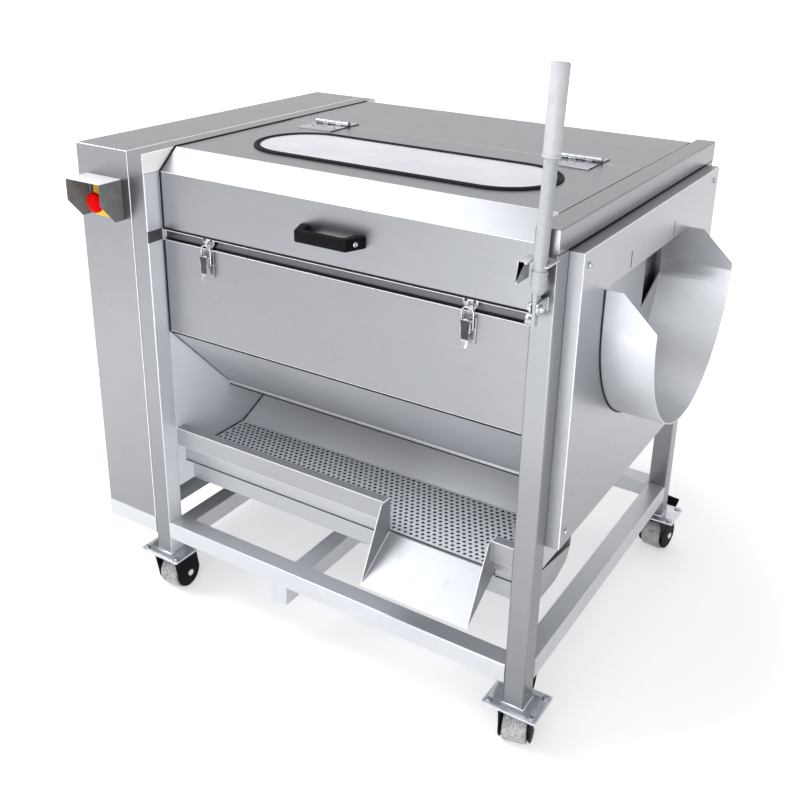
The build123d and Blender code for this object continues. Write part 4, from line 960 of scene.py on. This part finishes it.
def switch_cover():
    """The open-fronted sheet cover over the stop button, with its slanted sides and folded feet."""
    hood = solid_copy("switch_cover", "switch_hood")
    rounded(hood, 0.0005, 2, 40)
    parts = [hood]
    for left, right in ((26.9, 34.4), (111.6, 119.1)):
        foot = block("cover_foot", (left, -1.2, 852), (right, 0, 925))
        parts.append(rounded(foot, 0.0003, 1))
    parts += screws_at("cover_screw", ((31, -1.1, 915), (115, -1.1, 915)), (0, -1, 0), 0.0024, 0.0012)
    dress(joined("switch_cover", parts), hood_coat, "frame", "stainless_sheet", "switch_hood")


def stop_mushroom():
    """The mushroom head on its stem, domed, with a grooved rim and its raised centre."""
    head = bar("stop_mushroom", at(button_x, -27, button_z), at(button_x, -31, button_z), 0.020, 48)
    dome = ((0.0012, 0.0020), (0.0024, 0.0018), (0.0036, 0.0012), (0.0046, 0.0008), (0.0044, 0.0003))
    stepped(head, (0, -1, 0), *dome)
    smooth(head, 40)
    stem = bar("stem", at(button_x, -29, button_z), at(button_x, 22, button_z), 0.011, 32)
    with editing(stem):
        pick_faces(facing(0, 1, 0))
        inset(0.001)
        extrude((0, 0.0006, 0))
    dress(joined("stop_mushroom", [head, stem]), button_red, "button", "red_plastic", "stop_button")


def stop_plate():
    """The plain yellow plate with its raised round collar behind the button."""
    plate = solid_copy("stop_plate", "switch_plate")
    rounded(plate, 0.0004, 2, 40)
    collar = bar("collar", at(button_x, -1.4, button_z), at(button_x, -7.5, button_z), 0.0175, 48)
    with editing(collar):
        pick_faces(lambda centre, normal: along(normal, (0, -1, 0)) or along(normal, (0, 1, 0)))
        inset(0.0053)
        bpy.ops.mesh.bridge_edge_loops()
    rounded(collar, 0.0008, 2, 40)
    corners = ((-27, 29), (27, 29), (-27, -29), (27, -29))
    seats = [(button_x + dx, -1.4, button_z + dz) for dx, dz in corners]
    screws = screws_at("plate_screw", seats, (0, -1, 0), 0.0022, 0.001)
    dress(joined("stop_plate", [plate, collar]), plate_coat, "frame", "yellow_plate", "switch_plate")
    polished("stop_plate_screws", screws, "frame")


switch_cover()
stop_mushroom()
stop_plate()


# Gate lever, its clevis and the notch bracket ------------------------------------
lean = radians(4)
lever_x, lever_y, lever_z = 1006, -28, 870
lever_foot = at(lever_x, lever_y, lever_z)


def up_lever(distance):
    """A place on the lever's axis, in millimetres from its pivot."""
    return lever_foot + Vector((0, sin(lean), cos(lean))) * distance * mm


def hand_lever():
    """The painted lever: a flat blade with a rounded foot, a collar and a flattened tube."""
    blade = solid_copy("hand_lever", "gate_lever")
    rounded(blade, 0.0009, 3, 40)
    taper = bar("taper", up_lever(21), up_lever(27.1), 0.0072, 32, 0.0116)
    neck = joined("neck", [taper, bar("socket", up_lever(27), up_lever(44), 0.0116, 32)])
    rounded(neck, 0.0008, 2, 40)
    ring = bar("ring", up_lever(52.5), up_lever(57.5), 0.0128, 40)
    rounded(ring, 0.0012, 3, 40)
    cheeks = []
    for middle_x in (lever_x - 2.4, lever_x + 2.4):
        cheek = block("cheek", (middle_x - 1.1, -36, 876), (middle_x + 1.1, -20, 912))
        cheeks.append(rounded(cheek, 0.0008, 2))
    lever = joined("hand_lever", [blade, neck, ring] + cheeks)
    dress(lever, lever_coat, "lever", "lever_paint", "gate_lever")


def grip_sleeve():
    """The pushed-on sleeve: slightly tapered, with a rolled lower lip and a closed, rounded end."""
    sleeve = bar("grip_sleeve", up_lever(224), up_lever(354.5), 0.0128, 48, 0.0139)
    with editing(sleeve):
        pick_faces(lambda centre, normal: normal.z > 0.9)
        bpy.ops.mesh.bevel(offset=0.0036, segments=4)
    lip = bar("lip", up_lever(222.6), up_lever(227), 0.0139, 48)
    rounded(lip, 0.0014, 3, 40)
    rounded(sleeve, 0.0005, 2, 50)
    dress(joined("grip_sleeve", [sleeve, lip]), grip_moulding, "lever", "grip_plastic", "lever_grip")


def clevis():
    """Two ears welded to the post, with the pivot bolt, its washers and its nut."""
    ears = solid_copy("pivot_clevis", "lever_clevis")
    rounded(ears, 0.0005, 2, 40)
    left, right = at(lever_x - 7, lever_y, lever_z), at(lever_x + 7, lever_y, lever_z)
    heads_made = [
        hex_bolt("pivot_bolt", left, (-1, 0, 0), 0.0072, 0.0045),
        hex_bolt("pivot_nut", right, (1, 0, 0), 0.0072, 0.0045),
    ]
    tip = bar("bolt_end", right, at(lever_x + 13.2, lever_y, lever_z), 0.0036, 24)
    rounded(tip, 0.0008, 2, 40)
    beads = []
    for x in (999, 1002, 1010, 1013):
        run = [at(x, -0.6, 859 + step * 22 / 9) for step in range(10)]
        beads.append(wire("weld", run, 0.0011, False, 2))
    polished("pivot_clevis", [ears, tip] + heads_made + beads, "frame", "lever_clevis")


def notch_plate():
    """The bent plate whose slot holds the lever, with its folded flange and rounded corners."""
    plate = solid_copy("notch_plate", "notch_bracket")
    with editing(plate, "EDGE"):
        pick_edges(lambda middle, run: abs(run.z) > 0.9 and middle.y < at(0, -38, 0).y)
        bpy.ops.mesh.bevel(offset=0.004, segments=4)
    rounded(plate, 0.0006, 2, 40)
    dress(plate, bracket_sheet, "frame", "stainless_sheet", "notch_bracket")


hand_lever()
grip_sleeve()
clevis()
notch_plate()


# Casters -------------------------------------------------------------------------
king_pins = {
    "front_left": (160, 20), "front_right": (1004, 20),
    "back_right": (1004, 767), "back_left": (160, 767),
}
headings = {"front_left": 92, "front_right": 104, "back_right": 82, "back_left": 10}
braked = ("front_right", "back_right")
trail, wheel_radius = 0.020, 0.0375


def beside_wheel(depth):
    """A place on the master wheel's axis, in metres from its middle."""
    return (trail, depth, wheel_radius)


def fork_master(pedal):
    """A pressed swivel fork, made with its king pin over the origin and its wheel trailing along +X."""
    name = "front_right" if pedal else "front_left"
    fork = solid_copy("fork_master", "caster_fork_" + name)
    pin = at(*king_pins[name], 0)
    fork.data.transform(Matrix.Rotation(-radians(headings[name]), 4, "Z") @ Matrix.Translation(-pin))
    rounded(fork, 0.0012, 2, 40)
    fork.data.materials.clear()
    fork.data.materials.append(black_moulding)
    race = bar("race", (0, 0, 0.0885), (0, 0, 0.0975), 0.0285, 48)
    with editing(race):
        pick_faces(lambda centre, normal: abs(normal.z) < 0.3)
        inset(0.0028)
        spread((0.93, 0.93, 1), center_override=(0, 0, 0.093))
    rounded(race, 0.0008, 2, 40)
    bolts = []
    for side in (1, -1):
        nut = hex_bolt("axle_nut", beside_wheel(side * 0.0295), (0, side, 0), 0.0078, 0.0052)
        nut.data.materials.append(axle_steel)
        bolts.append(nut)
        inner, outer = beside_wheel(side * 0.0290), beside_wheel(side * 0.0305)
        shield = bar("shield_ring", inner, outer, 0.0315, 48)
        stepped(shield, (0, side, 0), (0.0045, -0.0009), (0.010, 0.0012))
        bolts.append(rounded(shield, 0.0005, 2, 30))
    for piece in [race] + bolts[1::2]:
        piece.data.materials.append(black_moulding)
    treads = []
    if pedal:
        for step in range(4):
            x, z = 0.0715 + step * 0.0034, 0.0962 + step * 0.0025
            rib = bar("pedal_rib", (x, -0.0165, z), (x, 0.0165, z), 0.0010, 12)
            rib.data.materials.append(black_moulding)
            treads.append(rounded(rib, 0.0003, 1, 50))
    return joined("fork_master", [fork, race] + bolts + treads)


def wheel_master():
    """The wide wheel: a crowned tread with a shallow groove, and a stepped hub on each side."""
    tread = bar("tread", beside_wheel(-0.023), beside_wheel(0.023), wheel_radius, 72)
    with editing(tread):
        pick_faces(lambda centre, normal: abs(normal.y) > 0.9)
        bpy.ops.mesh.bevel(offset=0.0055, segments=4)
        pick_faces(lambda centre, normal: (
            abs(normal.y) > 0.95 and abs(centre.y) > 0.02
            and (centre - Vector(beside_wheel(centre.y))).length < 0.002
        ))
        inset(0.003)
        spread((1, 0.93, 1), center_override=beside_wheel(0))
    smooth(tread, 40)
    hubs = []
    for side in (1, -1):
        hub = bar("hub", beside_wheel(side * 0.018), beside_wheel(side * 0.0248), 0.0288, 48)
        stepped(hub, (0, side, 0), (0.004, -0.0022), (0.013, 0.0018))
        hubs.append(rounded(hub, 0.0006, 2, 30))
    return tread, joined("hub_master", hubs)


def turned_to(name):
    """The matrix that takes a caster's master to its post and heading."""
    turn = Matrix.Rotation(radians(headings[name]), 4, "Z")
    return Matrix.Translation(at(*king_pins[name], 0)) @ turn


plain_fork, braked_fork = fork_master(False), fork_master(True)
tread_master, hub_master = wheel_master()
for name in heads:
    master = braked_fork if name in braked else plain_fork
    fork = copied(master, "caster_fork_pressed_" + name, turned_to(name))
    dress(fork, None, "fork_" + name, "black_plastic", "caster_fork_" + name)
    tread = copied(tread_master, "caster_tread_" + name, turned_to(name))
    dress(tread, tread_rubber, "wheel_" + name, "white_nylon", "caster_wheel_" + name)
    hub = copied(hub_master, "caster_hub_" + name, turned_to(name))
    dress(hub, black_moulding, "wheel_" + name, "black_plastic")
for master in (plain_fork, braked_fork, tread_master, hub_master):
    bpy.data.objects.remove(master)


def mounting_plates():
    """The four welded plates with hexagon bolts, and the weld beads round the posts."""
    top, half_bead = 104, 20.4
    plates = solid_copy("mounting_plates", "caster_plates")
    with editing(plates):
        pick_points(lambda place: place.z > at(0, 0, top + 0.2).z)
        bpy.ops.mesh.delete(type="FACE")
        bpy.ops.mesh.select_all(action="SELECT")
        bpy.ops.mesh.delete_loose()
        bpy.ops.mesh.select_mode(type="EDGE")
        bpy.ops.mesh.select_non_manifold(extend=False)
        bpy.ops.mesh.edge_face_add()
    rounded(plates, 0.0007, 2, 40)
    bolts, beads = [], []
    first_x, first_y = king_pins["front_left"]
    first = [
        hex_bolt("plate_bolt", at(first_x + dx, first_y + dy, top), (0, 0, 1), 0.0062, 0.0038)
        for dx in (-42.5, 42.5) for dy in (-30, 30)
    ]
    master = joined("plate_bolts", first)
    for name, (x, y) in king_pins.items():
        step = Matrix.Translation(at(x, y, 0) - at(first_x, first_y, 0))
        bolts.append(copied(master, "plate_bolts_" + name, step))
        left, right, front, back = x - half_bead, x + half_bead, y - half_bead, y + half_bead
        corners = [(left, front), (right, front), (right, back), (left, back)]
        beads.append(wire("weld_bead", [at(*corner, top + 0.3) for corner in corners], 0.0016, True, 2))
    bpy.data.objects.remove(master)
    dress(plates, plated_steel, "frame", "stainless_frame", "caster_plates")
    polished("plate_bolt_heads", bolts, "frame")
    dress(joined("post_welds", beads), plated_steel, "frame", "stainless_frame")


mounting_plates()


# Strainer, brushes, dark and shade lines, and water fittings --------------------
def strainer():
    """The strainer: a thin floor with staggered round holes, and its low front walls."""
    pitch, row_pitch, floor_top = 12.8, 11.1, 325
    rows = ((185.2, 66.7, 62, (5.2,)), (191.6, 77.8, 61, (6.4, 5.2)))
    merging = {"use_merge_vertices": True, "merge_threshold": 0.0001}
    pieces = []
    for start_x, start_y, count, margins in rows:
        deselect()
        low = at(start_x, start_y, floor_top - 1)
        high = at(start_x + pitch, start_y + row_pitch, floor_top - 1)
        bpy.ops.mesh.primitive_plane_add(size=1, location=(low + high) / 2)
        spread((pitch * mm, row_pitch * mm, 1))
        cell = named("strainer_row")
        with editing(cell):
            bpy.ops.mesh.select_all(action="SELECT")
            bpy.ops.mesh.subdivide(number_cuts=1)
            inset(0.0031)
            bpy.ops.mesh.delete(type="FACE")
            middle = (low + high) / 2
            pick_points(lambda place: (
                abs(place.x - middle.x) < 0.005 and abs(place.y - middle.y) < 0.0045
            ))
            bpy.ops.transform.tosphere(value=1.0)
        repeated(cell, count, (pitch * mm, 0, 0), **merging)
        for side in (-1, 1):
            edge = at(start_x, 0, 0).x if side < 0 else at(start_x + count * pitch, 0, 0).x
            with editing(cell, "EDGE"):
                pick_edges(lambda place, run: abs(place.x - edge) < 0.0002 and abs(run.y) > 0.9)
                for margin in margins:
                    extrude((side * margin * mm, 0, 0))
        pieces.append(cell)
    floor = joined("strainer_floor", pieces)
    repeated(floor, 8, (0, 2 * row_pitch * mm, 0), **merging)
    for edge, shift in ((66.7, -3.7), (66.7 + 16 * row_pitch, 4.7)):
        line = at(0, edge, 0).y
        with editing(floor, "EDGE"):
            pick_edges(lambda place, run: abs(place.y - line) < 0.0002 and abs(run.x) > 0.9)
            extrude((0, shift * mm, 0))
    with editing(floor):
        bpy.ops.mesh.select_all(action="SELECT")
        bpy.ops.mesh.remove_doubles(threshold=0.0001)
    apply(floor, "SOLIDIFY", thickness=0.002, offset=0)
    floor.data.materials.append(inside_sheet)
    # The holes' walls are painted dark as shade.
    part_finish(floor, hole_wall_shade, lambda centre, normal: abs(normal.z) < 0.5)
    walls = []
    for low, high in ((180, 701), (925, 984)):
        wall = rounded(block("strainer_wall", (low, 62, 311), (high, 64, 355)), 0.0006, 2)
        wall.data.materials.append(tray_sheet)
        walls.append(wall)
    tray = joined("perforated_strainer", [floor] + walls)
    dress(tray, None, "frame", "stainless_sheet", "strainer_tray")


def middle_of(node):
    low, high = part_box(node)
    return (low + high) / 2


def turned_about(centre, angle, axis, shift=0.0):
    """A turn about an axis through a centre, with a shift along X."""
    turn = Matrix.Rotation(angle, 4, axis) @ Matrix.Translation(-centre)
    return Matrix.Translation(centre + Vector((shift, 0, 0))) @ turn


def brush_masters(axis):
    """A roller's bristle tufts in staggered rings, and its core, shaft and sprocket, about an axis."""
    y, z = axis.y, axis.z

    def place(x, radius=0.0):
        return Vector((at(x, 0, 0).x, y, z + radius * mm))

    tuft = bar("tuft", place(192, 23), place(192, 53.6), 0.0030, 5, 0.0046)
    with editing(tuft):
        pick_faces(facing(0, 0, -1))
        bpy.ops.mesh.delete(type="FACE")
    tufts, first, ring_step = 24, place(192), 0.024
    turn = 2 * pi / tufts
    others = [
        copied(tuft, "tuft", turned_about(first, turn * index, "X")) for index in range(1, tufts)
    ]
    ring = joined("ring", [tuft] + others)
    staggered = copied(ring, "ring", turned_about(first, turn / 2, "X", ring_step / 2))
    ring = joined("brush_rings", [ring, staggered])
    repeated(ring, 33, (ring_step, 0, 0))

    core = rounded(bar("core", place(184), place(980), 0.024, 48), 0.001, 2)
    shaft = rounded(bar("shaft", place(106), place(996), 0.010, 32), 0.001, 2)
    teeth = 15
    wheel = bar("sprocket", place(112), place(119), 0.0270, 2 * teeth)
    with editing(wheel):
        pick_faces(lambda centre, normal: (
            abs(normal.x) < 0.5
            and round(atan2(centre.z - z, centre.y - y) / (pi / teeth) - 0.5) % 2 == 0
        ))
        bpy.ops.mesh.extrude_faces_move(TRANSFORM_OT_shrink_fatten={"value": 0.0022})
        bpy.ops.mesh.inset(use_individual=True, thickness=0.0011, depth=0.0028)
        pick_faces(facing(-1, 0, 0))
        inset(0.004)
        extrude((-0.004, 0, 0))
    rounded(wheel, 0.0003, 1, 40)
    return ring, core, joined("drive_end", [shaft, wheel])


def brushes():
    first = middle_of("roller_1")
    masters = brush_masters(first)
    for number in range(1, 8):
        node = "roller_%d" % number
        middle = middle_of(node)
        step = Matrix.Translation(Vector((0, middle.y - first.y, middle.z - first.z)))
        ring, core, end = [copied(master, master.name + "_%d" % number, step) for master in masters]
        dress(ring, brush_nylon, node, "brush_fibre", node)
        dress(core, black_moulding, node, "brush_fibre")
        dress(end, drive_steel, node, "drive_steel")
    for master in masters:
        bpy.data.objects.remove(master)


def shade_and_edge_lines():
    """Thin black lines: painted shade in the gaps beside the lid and the rear panel, under the lid's
    lower edge, in the shelf's crease and round the scoop's opening; dark lines along the front panel's
    side, its folded lips, the tray's seams and the hopper's side; and a painted highlight line along
    the lid's lip.
    """
    # Painted shade: black lines in the gap beside the lid's side and under its lower edge.
    lid_route = route((183.2, 446, 986.2), (183.2, 85, 986.2), (183.2, 40.2, 946), (183.2, 40.2, 835))
    lid_gap_shade = wire("lid_side_gap_shade", lid_route, 0.0024)
    lid_lip = wire("lid_lower_lip", route((182.6, 41.8, 833.8), (981.5, 41.8, 833.8)), 0.0029)
    joined_in_black("lid_painted_shade_lines", [lid_gap_shade, lid_lip], "lid")
    # A painted highlight line along the lid's lip.
    lip_highlight = wire("lip_highlight_line", route((182.6, 42.4, 829.9), (981.5, 42.4, 829.9)), 0.0009)
    dress(lip_highlight, painted_edge_highlight, "lid", "stainless_sheet")

    # Painted shade in the gap beside the rear panel and in the shelf's crease; the other lines are dark
    # lines along the panel's side, its folded lips, the tray's seams and the hopper's side.
    rear_gap_shade = wire("rear_panel_gap_shade", route((182.4, 449, 986), (182.4, 744, 986)), 0.0020)
    panel_route = route((182.2, 40, 810), (182.2, 40, 619), (182.2, 210, 442))
    panel_side_line = wire("panel_side_dark_line", panel_route, 0.0021)
    shelf_shade_line = wire("panel_shelf_shade_line", route((181, 48.6, 812), (983, 48.6, 812)), 0.0014)
    lips = []
    for y, z in ((211.2, 432.9), (209.4, 443.2), (41.2, 616.4)):
        lips.append(wire("slope_lip_dark_line", route((181, y, z), (983, y, z)), 0.0020))
    for z in (354.6, 311):
        for low, high in ((181, 700), (926, 983)):
            lips.append(wire("tray_seam", route((low, 61.4, z), (high, 61.4, z)), 0.0009))
    hopper_route = route((181.5, 66, 325.6), (181.5, 248, 325.6), (181.5, 500, 441.5))
    hopper_side_line = wire("hopper_side_dark_line", hopper_route, 0.0014)
    panel_lines = [panel_side_line, shelf_shade_line, hopper_side_line, rear_gap_shade] + lips
    joined_in_black("panel_dark_and_shade_lines", panel_lines, "frame")

    scoop_x, scoop_y, scoop_z, radius, rim_z, steps = 1048.9, 361, 786, 219.6, 856, 40
    places = []
    for step in range(steps + 1):
        turn = pi * step / steps
        places.append(at(scoop_x, scoop_y - radius * cos(turn), scoop_z - radius * sin(turn)))
    ends = route((scoop_x, scoop_y - radius, rim_z), (scoop_x, scoop_y + radius, rim_z))
    # Painted shade in the gap round the scoop's opening.
    bead = wire("scoop_gap_shade_line", [ends[0]] + places + [ends[1]], 0.0013)
    dress(bead, rubber_and_shade_black, "frame", "black_rubber")


def bend_lines():
    """Thin painted highlight lines along the side cover's and the cabinet's outer bends."""
    tuck, lift = 0.0005, 0.002
    low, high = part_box("side_cover")
    x, y, z = high.x - tuck, low.y + tuck, high.z - tuck
    lines = [[(x, y, low.z + lift), (x, y, z), (x, high.y - tuck, z)]]
    low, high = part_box("drive_cabinet")
    x, y, z = high.x - tuck, low.y + tuck, high.z - tuck
    lines.append([(x, y, low.z + lift), (x, y, z), (low.x + tuck, y, z)])
    lines.append([(x, y, z), (x, high.y - tuck, z)])
    bends = [wire("bend_line", places, 0.0011) for places in lines]
    dress(joined("painted_bend_highlights", bends), painted_edge_highlight, "frame", "stainless_sheet")


def hex_collar(name, start, end, radius, hole):
    """A hexagon nut round a pipe, with its corners turned off."""
    nut = bar(name, start, end, radius, 6)
    reach = (Vector(end) - Vector(start)).normalized() * 0.002
    cut(nut, bar("hole", Vector(start) - reach, Vector(end) + reach, hole, 40))
    return rounded(nut, radius * 0.05, 2, 25)


def circle(radius, steps):
    """Offsets across and up round a circle, in the radius's unit."""
    turns = [2 * pi * step / steps for step in range(steps)]
    return [(radius * cos(turn), radius * sin(turn)) for turn in turns]


def water_fittings():
    """The spray nozzles, the inlet's nut and thread, and the drain stub's thread."""
    nozzles, nozzle_y = [], 560
    for index in range(9):
        x = 260 + 80 * index
        collar = bar("nozzle_collar", at(x, nozzle_y, 926), at(x, nozzle_y, 921), 0.0075, 6)
        rounded(collar, 0.0005, 2, 25)
        nose = bar("nozzle_nose", at(x, nozzle_y, 921.5), at(x, nozzle_y, 912), 0.0055, 24, 0.0038)
        slot = block("fan_slot", (x - 0.9, nozzle_y - 10, 909), (x + 0.9, nozzle_y + 10, 914))
        nozzles += [collar, cut(nose, slot)]
    polished("spray_nozzles", nozzles, "frame")

    inlet_x, inlet_z = 500, 935
    back, outer = at(inlet_x, 747.3, inlet_z), at(inlet_x, 756, inlet_z)
    pieces = [hex_collar("inlet_nut", back, outer, 0.0205, 0.0126)]
    for y in (759, 761, 763, 765, 767):
        places = [at(inlet_x + dx, y, inlet_z + dz) for dx, dz in circle(13.1, 36)]
        pieces.append(wire("inlet_thread", places, 0.0006, True, 1))
    polished("inlet_coupling", pieces, "frame")

    drain = (582, 173.5)
    threads = []
    for z in (203, 205.6, 208.2, 210.8, 213.4, 216):
        places = [at(drain[0] + dx, drain[1] + dy, z) for dx, dy in circle(25.1, 48)]
        threads.append(wire("drain_thread", places, 0.0007, True, 1))
    flange = bar("drain_flange", at(*drain, 236.4), at(*drain, 231.5), 0.0345, 48)
    rounded(flange, 0.0008, 2)
    cut(flange, bar("hole", at(*drain, 240), at(*drain, 228), 0.0246, 48))
    polished("drain_collar", [flange] + threads, "frame")


def small_parts():
    """The side cover's screws, and the cable gland's nut and ribbed dome."""
    seats = [(1048.6, y, z) for y in (64, 723) for z in (448, 920)]
    screws = screws_at("cover_screw", seats, (1, 0, 0), 0.0050, 0.0028, 28)
    polished("side_cover_screws", screws, "frame", "cover_screws")
    gland, ribs_round = (70, 700), 18
    nut = hex_collar("gland_nut", at(*gland, 183.8), at(*gland, 177), 0.0140, 0.0106)
    rib = block("gland_rib", (80.4, 699.2, 163), (82.2, 700.8, 175.5))
    pieces = [nut, rib]
    for index in range(1, ribs_round):
        turn = turned_about(at(*gland, 170), 2 * pi * index / ribs_round, "Z")
        pieces.append(copied(rib, "gland_rib", turn))
    dress(joined("gland_nut_and_ribs", pieces), black_moulding, "frame", "black_plastic")


strainer()
brushes()
shade_and_edge_lines()
bend_lines()
water_fittings()
small_parts()


# Floor, background, lamps and camera ---------------------------------------------
def white_for_camera(tree, base_strength):
    """Strength 1 for what the camera, metal and glass see, and the plain level for the rest."""
    path = tree.nodes.new("ShaderNodeLightPath")
    seen = path.outputs["Is Camera Ray"]
    for output in ("Is Glossy Ray", "Is Transmission Ray"):
        either = tree.nodes.new("ShaderNodeMath")
        either.operation = "MAXIMUM"
        tree.links.new(seen, either.inputs[0])
        tree.links.new(path.outputs[output], either.inputs[1])
        seen = either.outputs[0]
    level = tree.nodes.new("ShaderNodeMapRange")
    tree.links.new(seen, level.inputs[0])
    level.inputs[3].default_value = base_strength
    level.inputs[4].default_value = 1.0
    return level.outputs[0]


world = bpy.data.worlds.new("plain studio")
scene.world = world
world.use_nodes = True
backdrop = world.node_tree.nodes["Background"]
backdrop.inputs["Color"].default_value = (1, 1, 1, 1)
world.node_tree.links.new(white_for_camera(world.node_tree, 0.5), backdrop.inputs["Strength"])

deselect()
bpy.ops.mesh.primitive_plane_add(size=40, location=(0, 0, 0))
floor = bpy.context.object
floor.name = "studio_floor"
paper = Finish("pale floor", metallic=0.0)
fibre = paper.noise(40, 3.0, 0.6)
paper.feed("Base Color", paper.mix(fibre, (0.86, 0.86, 0.86, 1), (0.89, 0.89, 0.89, 1)))
paper.feed("Roughness", fibre * 0.1 + 0.85)
paper.shader.inputs["Emission Color"].default_value = (1, 1, 1, 1)
glow = Value(paper, white_for_camera(paper.tree, 0.0))
across, deep = paper.axis("X"), paper.axis("Y")
away = (across * across + deep * deep).maths("SQRT", across * across + deep * deep)
paper.feed("Emission Strength", glow * paper.fit(away, 0.75, 1.7, 0.36, 1.0))
floor.data.materials.append(paper.material)


def lamp(name, place, aim, size, power):
    """A soft square lamp aimed at a point."""
    data = bpy.data.lights.new(name, "AREA")
    data.shape = "SQUARE"
    data.size = size
    data.energy = power
    made = bpy.data.objects.new(name, data)
    made.location = place
    made.rotation_euler = (Vector(aim) - Vector(place)).to_track_quat("-Z", "Y").to_euler()
    scene.collection.objects.link(made)


middle = (0.0, 0.0, 0.55)
chamfer = (0.0, -0.333, 0.97)
lamp("chamfer lamp", (-1.58, -1.36, 3.25), chamfer, 1.85, 62)
lamp("front lamp", (1.6, -2.8, 2.6), middle, 2.4, 21)
lamp("left fill", (-3.0, -1.2, 2.0), middle, 2.4, 16)
lamp("top lamp", (0.3, 1.2, 3.6), middle, 2.6, 14)
lamp("low front fill", (0.5, -2.4, 0.58), (0.0, 0.0, 0.38), 1.4, 24)

camera_data = bpy.data.cameras.new("photo view")
camera = bpy.data.objects.new("photo view", camera_data)
scene.collection.objects.link(camera)
# The camera's axes, place and lens, solved from the photograph's straight edges
right, up = (0.8449, 0.5346, 0.0182), (-0.2084, 0.2977, 0.9317)
backward = (0.4926, -0.7910, 0.3629)
turned = Matrix((right, up, backward)).transposed().to_4x4()
camera.matrix_world = Matrix.Translation((0.9957, -1.7101, 1.3983)) @ turned
camera_data.sensor_width = 36
camera_data.lens = 45.21
camera_data.shift_x = 0.00234
camera_data.shift_y = -0.10956
scene.camera = camera
scene.view_settings.view_transform = "Standard"
